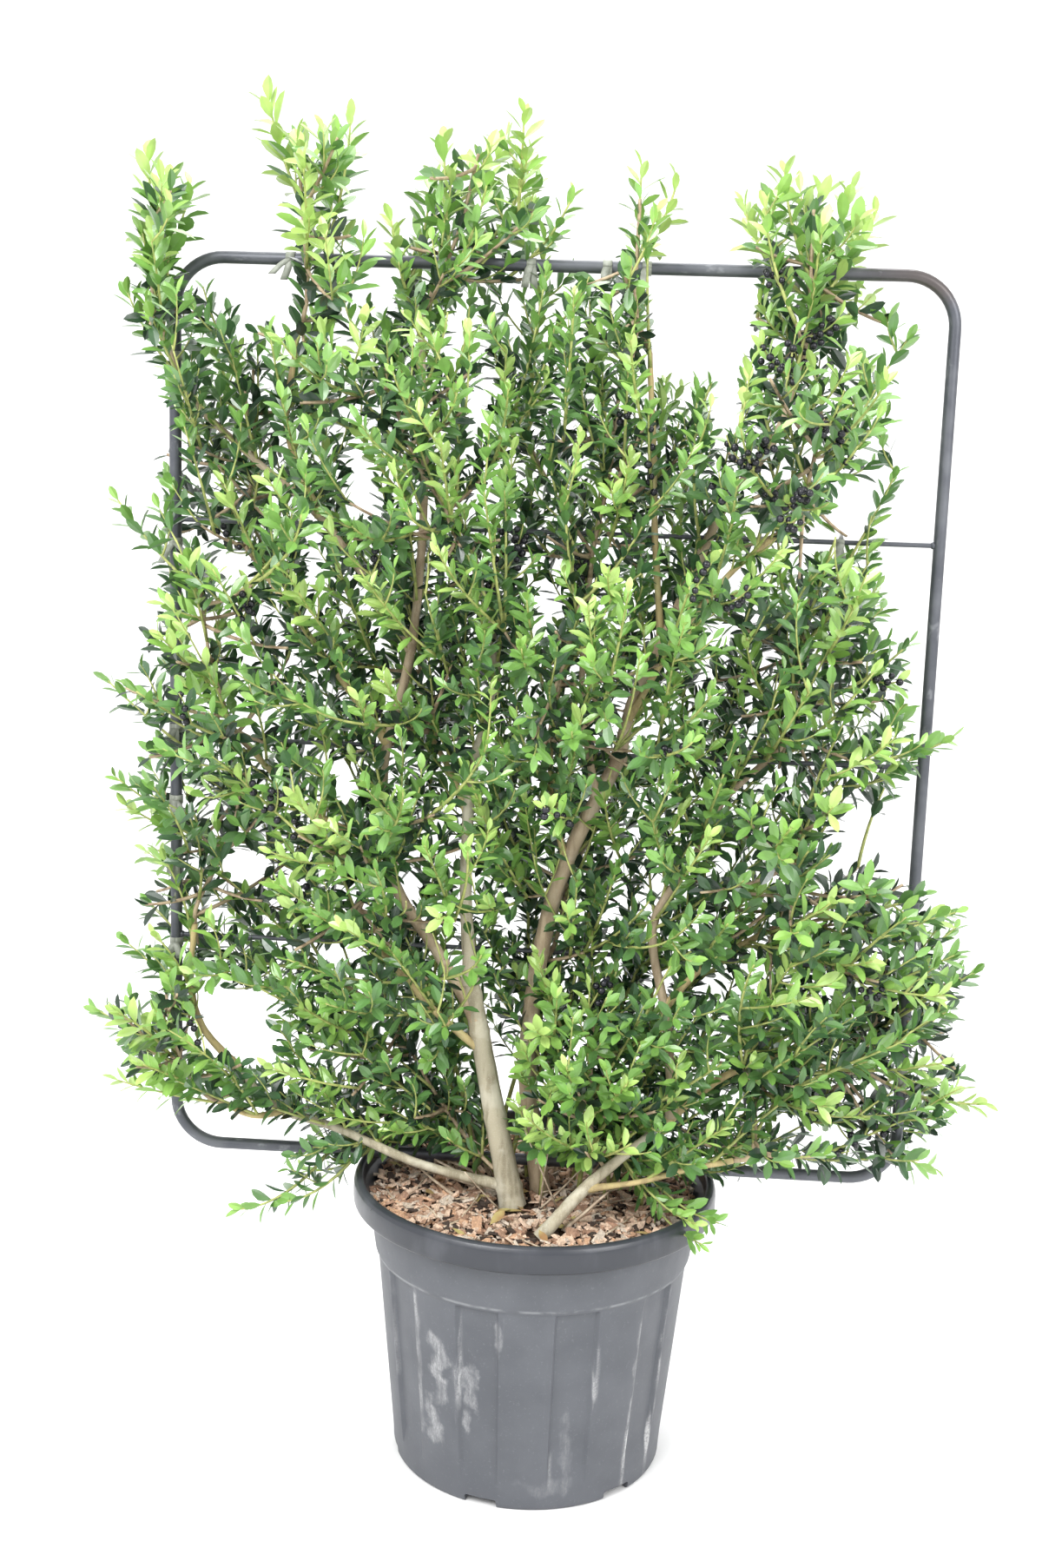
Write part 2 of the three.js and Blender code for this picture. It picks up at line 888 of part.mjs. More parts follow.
// The stem starts at its bough's tip, or from the trunk's side, and climbs through the middle of
// the space towards its top. Of several tries the one with the longest free run is kept.
function stemCurve(mass, limb, random) {
  const { stemSteps, stemTries, stemTop, stemRise, stemStray, stemCheck, straightFoot } = growth;
  const share = mass.at ? shareAtHeight(limb.curve, mass.at) : 1;
  const foot = onPieces(limb.curve, limb.steps, share);
  const middle = vector(mass.middle);
  const half = vector(mass.half);
  const away = mass.at
    ? middle.clone().sub(foot).setZ(0).normalize().add(new THREE.Vector3(0, 0, stemRise)).normalize()
    : limb.curve.getTangentAt(1);
  const start = mass.at ? foot : foot.clone().addScaledVector(away, -growth.stemSunk);
  const next = foot.clone().addScaledVector(away, (mass.at ? limb.radiusAt(share) : 0) + straightFoot);
  let best = null;
  for (let i = 0; i < stemTries && !(best && best.run === stemCheck); i++) {
    const stray = new THREE.Vector3(random() - 0.5, random() - 0.5, stemStray * (random() - 0.5));
    stray.multiplyScalar(stemStray + i / stemTries).multiply(half);
    const top = middle.clone().add(stray);
    top.z = middle.z + stemTop * half.z;
    const between = next.clone().lerp(top, 0.5).lerp(middle, stemStray).addScaledVector(stray, 0.5);
    const curve = curveThrough([start, next, between, top]);
    let run = 2;
    while (run < stemCheck) {
      const spot = onPieces(curve, stemSteps, (run + 1) / stemCheck);
      if (!insideWalls(spot, mass) || !clearOfPot(spot) || !clearOfLimbs(spot, mass, mass.from)) break;
      run += 1;
    }
    if (!best || run > best.run) best = { curve, run };
  }
  if (best.run === stemCheck) return best.curve;
  const parts = [];
  for (let i = 0; i <= stemSteps; i++) {
    parts.push(onPieces(best.curve, stemSteps, ((i / stemSteps) * best.run) / stemCheck));
  }
  return curveThrough(parts);
}

// Whether a straight twig meets nothing. Near its root it may touch its own stem.
function twigIsFree(mass, from, way, length, outlineTip) {
  const count = Math.ceil(length / growth.fieldStep);
  for (let i = 1; i <= count; i++) {
    const along = (i / count) * length;
    const spot = from.clone().addScaledVector(way, along);
    const inside = outlineTip ? insideWalls(spot, mass) : insideSpace(spot, mass);
    if (!inside || !clearOfPot(spot) || !clearOfLimbs(spot, mass)) return false;
    if (along < growth.twigRootLength) continue;
    if (!clearOfLeaves(spot, mass) || !clearOfTwigs(spot, mass)) return false;
  }
  return true;
}

// Whether every place of a leaf's blade keeps to the mass's space and clear of all else.
function leafIsFree(mass, field, twig, outlineTip) {
  return field.every((spot) => {
    const inside = outlineTip ? insideWalls(spot, mass) : insideSpace(spot, mass);
    if (!inside || !clearOfPot(spot) || !clearOfLimbs(spot, mass)) return false;
    return spot.nearRoot || (clearOfLeaves(spot, mass) && clearOfTwigs(spot, mass, twig));
  });
}

// How far apart two places look, mostly from the front, as the plant is trained flat.
function apart(one, other) {
  const depth = (one.y - other.y) * growth.depthWeight;
  return Math.hypot(one.x - other.x, depth, one.z - other.z);
}

// Of several free tries, the one that lies farthest from the spots already taken.
function farthest(tries, taken, attempt) {
  let best = null;
  for (let i = 0; i < tries; i++) {
    const found = attempt();
    if (!found) continue;
    found.room = Math.min(...taken.map((spot) => apart(spot, found.spot)));
    if (!best || found.room > best.room) best = found;
  }
  return best;
}

// A leaf is made smaller where the full size doesn't fit.
function largestLeaf(mass, root, along, face, twig, outlineTip) {
  for (const size of growth.leafSizes) {
    const leaf = leafAxes(root, along, face, mass.leafLength * size);
    const field = leafField(leaf);
    const spot = root.clone().addScaledVector(along, leaf.length / 2);
    if (leafIsFree(mass, field, twig, outlineTip)) return { leaf, field, spot };
  }
  return null;
}

function addLeaf(mass, { leaf, field, spot }) {
  mass.pieces.push(leafBody(leaf));
  mass.leafSpots.push(...field);
  mass.leafMiddles.push(spot);
}

function addEndLeaf(mass, root, along, twig, outlineTip) {
  const face = vector(growth.endLeafFace);
  const found = largestLeaf(mass, root, along, face, twig, outlineTip);
  if (found) addLeaf(mass, found);
}

// Twigs leave the stem for each named leaf tip first, and then for the emptiest parts of the space.
function addTwigs(mass, random) {
  const count = Math.max(growth.fewestTwigs, Math.round(growth.twigsPerArea * mass.area));
  const ends = [mass.onStem(1)];
  for (let k = 0; k < Math.max(count, mass.tips.length); k++) {
    const tip = mass.tips[k] && vector(mass.tips[k]);
    const found = farthest(growth.twigTries, tip ? [tip] : ends, () => {
      const from = mass.onStem(THREE.MathUtils.lerp(...growth.twigShares, random()));
      const rise = growth.lowestRise + (1 - growth.lowestRise) * random();
      const level = Math.sqrt(1 - rise * rise);
      const turn = 2 * Math.PI * random();
      const way = new THREE.Vector3(Math.cos(turn) * level, Math.sin(turn) * level, rise);
      if (tip) way.copy(tip).sub(from).normalize();
      const room = tip ? from.distanceTo(tip) : reachOf(mass, from, way);
      const reach = Math.max(growth.shortestTwig, room - mass.leafLength);
      if (room < reach + growth.leastLeafRoom * mass.leafLength) return null;
      if (!twigIsFree(mass, from, way, reach, tip)) return null;
      const to = from.clone().addScaledVector(way, reach);
      const spot = tip ? from : to.clone().addScaledVector(way, mass.leafLength / 2);
      return { from, way, to, reach, spot, name: k };
    });
    if (!found) continue;
    mass.twigs.push(found);
    ends.push(found.to.clone().addScaledVector(found.way, mass.leafLength / 2));
    mass.twigBars.push({ from: found.from, to: found.to, radius: growth.twigRadius, twig: k });
    mass.pieces.push(bent(new THREE.LineCurve3(found.from, found.to), () => growth.twigRadius, 3, 1));
    addEndLeaf(mass, found.to, found.way, k, tip);
  }
}

// Leaves stand off the twigs and the stem at a slant, spread evenly through the space.
function addLeaves(mass, random) {
  const count = Math.round(growth.leavesPerArea * mass.area);
  while (mass.leafMiddles.length < count) {
    const found = farthest(growth.leafTries, mass.leafMiddles, () => {
      const twig = mass.twigs[Math.floor(random() * (mass.twigs.length + 1))];
      const share = THREE.MathUtils.lerp(...growth.leafShares, random());
      const root = twig ? twig.from.clone().lerp(twig.to, share) : mass.onStem(share);
      const along = twig ? twig.way : mass.stem.getTangentAt(share);
      const out = new THREE.Vector3(0, 0, 1).cross(along).normalize();
      out.applyAxisAngle(along, 2 * Math.PI * random());
      const way = along.clone().addScaledVector(out, growth.leafSpread).normalize();
      const face = along.clone().addScaledVector(out, -growth.leafTurn);
      face.y -= growth.leafFacing;
      return largestLeaf(mass, root, way, face, twig ? twig.name : "stem");
    });
    if (!found) break;
    addLeaf(mass, found);
  }
}

function addBerries(mass) {
  let left = mass.berries || 0;
  for (const twig of mass.twigs) {
    if (left < 1) break;
    const spot = twig.from.clone().addScaledVector(twig.way, twig.reach * growth.berryShare);
    spot.z -= growth.berryRadius * growth.berryHang;
    if (!insideSpace(spot, mass) || !clearOfLimbs(spot, mass)) continue;
    const berry = new THREE.OctahedronGeometry(growth.berryRadius);
    berry.translate(spot.x, spot.y, spot.z);
    mass.pieces.push(solid(berry));
    left -= 1;
  }
}

// A mass grows from one stem: twigs, then leaves and berries, all joined into one body.
function growMass(mass, index, byName) {
  const random = seeded(index + 11);
  const limb = byName.get(mass.from);
  const middle = vector(mass.middle);
  const around = Math.max(...mass.half) + growth.nearMargin;
  mass.walls = wallsOf(mass);
  mass.near = [...bars, ...limbs.flatMap(limbBars)].filter((line) => clearOf(middle, line) < around);
  const [halfX, halfY, halfZ] = mass.half;
  mass.leafLength = Math.min(growth.leafLength, (growth.leafShare * (halfX + halfY + halfZ)) / 3);
  mass.area = halfX * halfZ;
  mass.leafSpots = [];
  mass.leafMiddles = [];
  mass.twigs = [];
  mass.stem = stemCurve(mass, limb, random);
  mass.onStem = (share) => onPieces(mass.stem, growth.stemSteps, share);
  mass.pieces = [bent(mass.stem, () => growth.stemRadius, 3, growth.stemSteps)];
  mass.twigBars = Array.from({ length: growth.stemSteps }, (_, i) => ({
    from: mass.stem.getPointAt(i / growth.stemSteps),
    to: mass.stem.getPointAt((i + 1) / growth.stemSteps),
    radius: growth.stemRadius,
    twig: "stem",
  }));
  addEndLeaf(mass, mass.onStem(1), mass.stem.getTangentAt(1), "stem");
  addTwigs(mass, random);
  addLeaves(mass, random);
  addBerries(mass);
  const body = mass.pieces.reduce((joined, piece) => joined.add(piece));
  place(mass.name, whole(body.subtract(limb.grown)), looks.leaves);
}

addPot();
addMulch(addFrame());
const limbsByName = addLimbs();
masses.forEach((mass, index) => growMass(mass, index, limbsByName));

export default group;
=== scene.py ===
import json
import math

import bpy
import numpy as np
from mathutils import Matrix, Vector

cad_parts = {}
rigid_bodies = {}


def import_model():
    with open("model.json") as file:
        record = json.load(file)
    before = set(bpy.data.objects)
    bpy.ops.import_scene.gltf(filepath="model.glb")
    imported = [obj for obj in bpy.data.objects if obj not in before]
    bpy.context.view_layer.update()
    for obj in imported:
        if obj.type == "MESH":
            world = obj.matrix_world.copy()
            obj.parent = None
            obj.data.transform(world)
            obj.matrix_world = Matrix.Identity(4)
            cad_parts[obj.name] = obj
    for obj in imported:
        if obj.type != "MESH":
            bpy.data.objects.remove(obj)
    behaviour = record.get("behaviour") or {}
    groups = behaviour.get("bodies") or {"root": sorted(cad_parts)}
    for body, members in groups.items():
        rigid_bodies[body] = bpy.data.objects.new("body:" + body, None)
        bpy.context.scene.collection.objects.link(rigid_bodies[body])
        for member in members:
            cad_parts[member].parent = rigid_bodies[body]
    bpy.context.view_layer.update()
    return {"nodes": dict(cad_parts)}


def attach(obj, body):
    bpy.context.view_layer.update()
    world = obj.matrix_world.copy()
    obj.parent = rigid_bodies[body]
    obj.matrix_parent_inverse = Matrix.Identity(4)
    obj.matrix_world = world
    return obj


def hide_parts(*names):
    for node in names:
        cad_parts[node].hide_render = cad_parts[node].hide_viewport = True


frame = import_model()
mm = 0.001


# Small helpers

def deselect():
    bpy.ops.object.select_all(action="DESELECT")


def mode(kind):
    bpy.ops.object.mode_set(mode=kind)


def take(*things):
    deselect()
    for thing in things:
        thing.select_set(True)
    bpy.context.view_layer.objects.active = things[0]


def modify(thing, kind, **settings):
    take(thing)
    modifier = thing.modifiers.new(kind.lower(), kind)
    for key, value in settings.items():
        setattr(modifier, key, value)
    bpy.ops.object.modifier_apply(modifier=modifier.name)


def place(thing):
    take(thing)
    bpy.ops.object.transform_apply(location=True, rotation=True, scale=True)


def join(name, things):
    take(*things)
    bpy.ops.object.join()
    things[0].name = name
    things[0].data.name = name
    place(things[0])
    return things[0]


def smooth(thing, degrees):
    take(thing)
    bpy.ops.object.shade_smooth_by_angle(angle=math.radians(degrees))


def dress(thing, material, slot, *nodes):
    thing.data.materials.clear()
    thing.data.materials.append(material)
    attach(thing, "root")
    if nodes:
        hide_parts(*nodes)


def link(name, data):
    thing = bpy.data.objects.new(name, data)
    bpy.context.scene.collection.objects.link(thing)
    return thing


def unit(vectors):
    vectors = np.asarray(vectors, float)
    return vectors / np.maximum(np.linalg.norm(vectors, axis=-1, keepdims=True), 1e-9)


def lengthsAlong(line):
    return np.concatenate([[0], np.cumsum(np.linalg.norm(np.diff(line, axis=0), axis=1))])


def readLine(line, lengths, at):  # what a line has at given lengths along it
    return np.stack([np.interp(at, lengths, line[:, k]) for k in range(3)], 1)


def spread(places, *ways):  # corners at each place, moved along each way by their own amounts
    points = places[:, None]
    for way, amounts in ways:
        points = points + way[:, None] * amounts[..., None]
    return points


def makeMesh(name, points, faces):  # in millimetres; the faces all have the same number of corners
    points = np.asarray(points * mm, np.float32).reshape(-1, 3)
    faces = np.asarray(faces, np.int32)
    mesh = bpy.data.meshes.new(name)
    mesh.vertices.add(len(points))
    mesh.vertices.foreach_set("co", points.ravel())
    mesh.loops.add(faces.size)
    mesh.loops.foreach_set("vertex_index", faces.ravel())
    mesh.polygons.add(len(faces))
    mesh.polygons.foreach_set("loop_start", np.arange(0, faces.size, faces.shape[1], dtype=np.int32))
    mesh.polygons.foreach_set("use_smooth", np.ones(len(faces), bool))
    mesh.update(calc_edges=True)
    return link(name, mesh)


def makeCopies(name, shapes, faces):  # many shapes with the same faces, as one mesh
    index = faces[None] + (np.arange(len(shapes)) * shapes.shape[1])[:, None, None]
    return makeMesh(name, shapes, index.reshape(-1, faces.shape[1]))


def makeTube(name, points, radii, roundness, closed=False):  # in millimetres
    data = bpy.data.curves.new(name, "CURVE")
    data.dimensions = "3D"
    data.bevel_depth = 1
    data.bevel_resolution = roundness
    data.use_fill_caps = not closed
    line = data.splines.new("POLY")
    line.points.add(len(points) - 1)
    line.use_cyclic_u = closed
    for point, spot, radius in zip(line.points, points, radii):
        point.co = (*(np.array(spot) * mm), 1)
        point.radius = radius * mm
    take(link(name, data))
    bpy.ops.object.convert(target="MESH")
    return bpy.context.object


# Shader maths

class Value:
    def __init__(self, graph, socket):
        self.graph, self.socket = graph, socket

    def math(self, operation, other=None, first=None):
        a, b = (self, other) if first is None else (first, self)
        inputs = {0: a} if b is None else {0: a, 1: b}
        return self.graph.node("Math", {"operation": operation}, inputs)

    def ramp(self, low, high, to=(0, 1)):  # smooth step from low to high
        ends = {"Value": self, "From Min": low, "From Max": high, "To Min": to[0], "To Max": to[1]}
        return self.graph.node("MapRange", {"interpolation_type": "SMOOTHSTEP"}, ends)

    def near(self, middle, low, high):  # one at the middle, falling to nothing from low to high away from it
        return (self - middle).math("ABSOLUTE").ramp(low, high, (1, 0))


for name, operation in {"add": "ADD", "sub": "SUBTRACT", "mul": "MULTIPLY", "truediv": "DIVIDE"}.items():
    setattr(Value, f"__{name}__", lambda self, other, kind=operation: self.math(kind, other))
    setattr(Value, f"__r{name}__", lambda self, other, kind=operation: self.math(kind, first=other))


def asColour(colour):
    return colour if isinstance(colour, Value) else (*colour, 1)


class Graph:
    def __init__(self, name):
        self.material = bpy.data.materials.new(name)
        self.material.use_nodes = True
        self.tree = self.material.node_tree
        self.tree.nodes.clear()
        self.coordinates = self.node("TexCoord", out="Object")

    def node(self, kind, settings=None, inputs=None, out=0):
        made = self.tree.nodes.new("ShaderNode" + kind)
        for key, value in (settings or {}).items():
            setattr(made, key, value)
        for key, value in (inputs or {}).items():
            if isinstance(value, Value):
                self.tree.links.new(value.socket, made.inputs[key])
            else:
                made.inputs[key].default_value = value
        return Value(self, made.outputs[out]) if len(made.outputs) else None

    def places(self):  # x, y and z
        return (self.node("SeparateXYZ", None, {0: self.coordinates}, out=axis) for axis in "XYZ")

    def scaled(self, scale):
        return self.node("VectorMath", {"operation": "MULTIPLY"}, {0: self.coordinates, 1: scale})

    def noise(self, scale, detail=3, stretch=None, rough=0.55):
        vector = self.scaled(stretch) if stretch else self.coordinates
        inputs = {"Vector": vector, "Scale": scale, "Detail": detail, "Roughness": rough}
        return self.node("TexNoise", None, inputs)

    def cells(self, scale, stretch):
        return self.node("TexVoronoi", None, {"Vector": self.scaled(stretch), "Scale": scale}, out="Distance")

    def mix(self, factor, one, other):
        inputs = {0: factor, 6: asColour(one), 7: asColour(other)}
        return self.node("Mix", {"data_type": "RGBA"}, inputs, out=2)

    def bump(self, height, strength, distance):
        return self.node("Bump", None, {"Height": height, "Strength": strength, "Distance": distance})

    def grain(self, scale, detail, strength, distance):
        return self.bump(self.noise(scale, detail), strength, distance)

    def finish(self, colour, roughness, **rest):
        inputs = {"Base Color": asColour(colour), "Roughness": roughness}
        inputs.update({key.replace("_", " "): value for key, value in rest.items()})
        shader = self.node("BsdfPrincipled", None, inputs)
        self.node("OutputMaterial", None, {"Surface": shader})
        return self.material


# Camera, floor and light

view = {  # metres; yaw in radians, pitch and roll in degrees
    "place": (0.1038, -2.2856, 1.313), "yaw": -0.0604, "pitch": 10.6, "roll": 1.85,
    "sensor": 36, "focalPixels": 2150, "pictureHeight": 1805,  # the sensor lies along the picture's height
}


def addCamera():
    yaw, pitch, roll = view["yaw"], math.radians(view["pitch"]), math.radians(view["roll"])
    ahead = Vector((math.sin(yaw) * math.cos(pitch), math.cos(yaw) * math.cos(pitch), -math.sin(pitch)))
    right = Vector((math.cos(yaw), -math.sin(yaw), 0))
    up = right.cross(ahead)
    across = right * math.cos(roll) + up * math.sin(roll)
    upward = up * math.cos(roll) - right * math.sin(roll)
    data = bpy.data.cameras.new("camera")
    data.sensor_width = view["sensor"]
    data.lens = view["focalPixels"] / view["pictureHeight"] * view["sensor"]
    camera = link("camera", data)
    turn = Matrix((across, upward, -ahead)).transposed().to_4x4()
    camera.matrix_world = Matrix.Translation(view["place"]) @ turn
    bpy.context.scene.camera = camera


studio = {
    "floorSize": 14, "backHeight": 6, "backAt": 4.5, "sweep": 1.2, "sweepSteps": 16,
    "floorColour": (0.86, 0.86, 0.86), "floorRoughness": 0.9,
    "skyColour": (1, 1, 1, 1), "skyStrength": 1.2,
    "lamps": [
        {"place": (-1.6, -2.6, 3.4), "size": 2.4, "power": 150},
        {"place": (2.4, -2.0, 2.6), "size": 2.0, "power": 70},
        {"place": (0.0, 1.2, 3.6), "size": 2.2, "power": 60},
    ],
    "lampsAim": (0, 0, 0.9),
}


def selectEdges(floor, y):  # the floor's edges that lie flat at this distance back
    bpy.ops.mesh.select_all(action="DESELECT")
    mode("OBJECT")
    for edge in floor.data.edges:
        ends = [floor.data.vertices[v].co for v in edge.vertices]
        edge.select = all(abs(end.y - y) < 0.01 and abs(end.z) < 0.01 for end in ends)
    mode("EDIT")


def addStage():
    size, backAt = studio["floorSize"], studio["backAt"]
    deselect()
    bpy.ops.mesh.primitive_plane_add(size=size, location=(0, backAt - size / 2, 0))
    floor = bpy.context.object
    floor.name = "floor"
    place(floor)
    mode("EDIT")
    bpy.ops.mesh.select_mode(type="EDGE")
    selectEdges(floor, backAt)
    bpy.ops.mesh.extrude_region_move(TRANSFORM_OT_translate={"value": (0, 0, studio["backHeight"])})
    selectEdges(floor, backAt)
    bpy.ops.mesh.bevel(offset=studio["sweep"], segments=studio["sweepSteps"], affect="EDGES")
    mode("OBJECT")
    smooth(floor, 30)
    graph = Graph("studioPaper")
    floor.data.materials.append(graph.finish(studio["floorColour"], studio["floorRoughness"]))

    world = bpy.data.worlds.new("studio")
    bpy.context.scene.world = world
    world.use_nodes = True
    sky = world.node_tree.nodes["Background"].inputs
    sky["Color"].default_value = studio["skyColour"]
    sky["Strength"].default_value = studio["skyStrength"]
    for i, lamp in enumerate(studio["lamps"]):
        data = bpy.data.lights.new(f"lamp{i}", "AREA")
        data.shape = "DISK"
        data.size = lamp["size"]
        data.energy = lamp["power"]
        thing = link(f"lamp{i}", data)
        thing.location = lamp["place"]
        aim = Vector(studio["lampsAim"]) - Vector(lamp["place"])
        thing.rotation_euler = aim.to_track_quat("-Z", "Y").to_euler()
    bpy.context.scene.view_settings.view_transform = "Standard"


addCamera()
addStage()
print("stage: camera, floor and lights")


# Curves

stretchPoints, heightSteps = 24, 401  # how finely curves are made and searched


class Path:  # a centripetal Catmull-Rom curve through places, read by its share of length
    def __init__(self, places):
        p = np.asarray(places, float)
        p = np.vstack([2 * p[0] - p[1], p, 2 * p[-1] - p[-2]])
        points = []
        for i in range(1, len(p) - 2):
            a, b, c, d = p[i - 1:i + 3]
            t0, t1, t2 = (np.linalg.norm(q) ** 0.5 for q in (b - a, c - b, d - c))
            m1 = ((b - a) / t0 - (c - a) / (t0 + t1) + (c - b) / t1) * t1
            m2 = ((c - b) / t1 - (d - b) / (t1 + t2) + (d - c) / t2) * t1
            t = np.linspace(0, 1, stretchPoints, endpoint=i == len(p) - 3)[:, None]
            bend, twist = 3 * (c - b) - 2 * m1 - m2, 2 * (b - c) + m1 + m2
            points.append(b + m1 * t + bend * t ** 2 + twist * t ** 3)
        self.points = np.vstack(points)
        self.lengths = lengthsAlong(self.points)
        self.length = self.lengths[-1]

    def at(self, share):
        return readLine(self.points, self.lengths, np.clip(np.atleast_1d(share), 0, 1) * self.length)

    def endWay(self):
        return unit(self.at(1) - self.at(0.99))[0]

    def shareAtHeight(self, height):
        shares = np.linspace(0, 1, heightSteps)
        above = np.nonzero(self.at(shares)[:, 2] >= height)[0]
        return shares[above[0]] if len(above) else 1.0


# Limbs as in the solids, in millimetres: parent, the height at which they leave it, radii at foot
# and tip, the flare at the foot, and the places they pass.
limbs = {
    "trunk_front": (None, None, (16, 11.5), 9, [(-25, -53, 350), (-56, -42, 486), (-88, -30, 632)]),
    "trunk_rear": (None, None, (13, 9), 7, [(8, -5, 350), (-14, -9, 534), (17, -9, 763), (85, -8, 922)]),
    "trunk_right": (None, None, (13, 7.5), 6, [(14, -136, 344), (71, -112, 406), (172, -70, 484)]),
    "leader_front": ("trunk_front", None, (9, 4.5), 0, [(-98, -24, 760), (-93, -16, 908), (-68, -14, 1015),
        (-95, -12, 1150)]),
    "bough_left_inner": ("trunk_front", 588, (8, 4), 0, [(-128, -34, 668), (-191, -22, 764), (-205, -16, 900),
        (-174, -14, 1050), (-162, -13, 1255), (-170, -10, 1420)]),
    "bough_left_diagonal": ("bough_left_inner", 1050, (5.5, 3.6), 0, [(-288, -10, 1204), (-380, -6, 1280),
        (-452, -14, 1350), (-482, -22, 1424)]),
    "bough_left_high": ("bough_left_diagonal", 1206, (4.2, 3.4), 0, [(-330, -14, 1310), (-322, -12, 1402)]),
    "bough_left_shoulder": ("bough_left_inner", 930, (4.6, 3.4), 0, [(-290, -22, 1050), (-368, -12, 1150)]),
    "bough_left_mid": ("bough_left_inner", 800, (4.8, 3.4), 0, [(-290, -26, 842), (-372, -14, 915)]),
    "bough_centre_left": ("leader_front", 845, (4.2, 3.4), 0, [(-122, -2, 895), (-146, 0, 935)]),
    "bough_left_low": ("trunk_front", 545, (5, 3.6), 0, [(-130, -50, 600), (-218, -30, 686)]),
    "bough_foot_left": ("trunk_front", 372, (7.5, 5.6), 0, [(-145, -48, 396), (-255, -32, 432),
        (-340, -18, 452), (-388, -16, 500)]),
    "bough_foot_left_rise": ("bough_foot_left", None, (5.2, 3.6), 0, [(-436, -14, 556), (-449, -12, 610),
        (-444, -12, 688)]),
    "bough_foot_left_side": ("bough_foot_left", 446, (4, 3.2), 0, [(-360, -46, 448), (-405, -40, 462)]),
    "leader_rear": ("trunk_rear", None, (8, 4), 0, [(103, -8, 1004), (149, -10, 1109), (203, -10, 1241),
        (252, -10, 1310), (280, -8, 1405)]),
    "bough_centre_high": ("leader_rear", 1070, (4.4, 3.4), 0, [(119, -16, 1190), (112, -16, 1300),
        (104, -10, 1395)]),
    "bough_centre": ("trunk_rear", 868, (5, 3.4), 0, [(38, -26, 1010), (42, -14, 1145)]),
    "bough_right_shoot": ("leader_rear", 968, (4.4, 3.4), 0, [(150, -42, 1078), (212, -36, 1160),
        (264, -24, 1204)]),
    "bough_centre_mid": ("trunk_rear", 790, (4.4, 3.4), 0, [(6, -30, 870), (2, -24, 935)]),
    "bough_right": ("trunk_right", None, (6.6, 4), 0, [(160, -52, 600), (138, -30, 720), (184, -20, 806),
        (214, -16, 874), (270, -12, 932)]),
    "bough_right_mid": ("bough_right", 620, (4.4, 3.4), 0, [(205, -34, 672), (272, -22, 712)]),
    "bough_right_low": ("trunk_right", 474, (5.4, 3.6), 0, [(228, -50, 530), (309, -28, 557),
        (372, -20, 540)]),
    "bough_front_right": ("trunk_right", 402, (4, 3.2), 0, [(133, -116, 416), (190, -104, 430),
        (248, -90, 440)]),
}

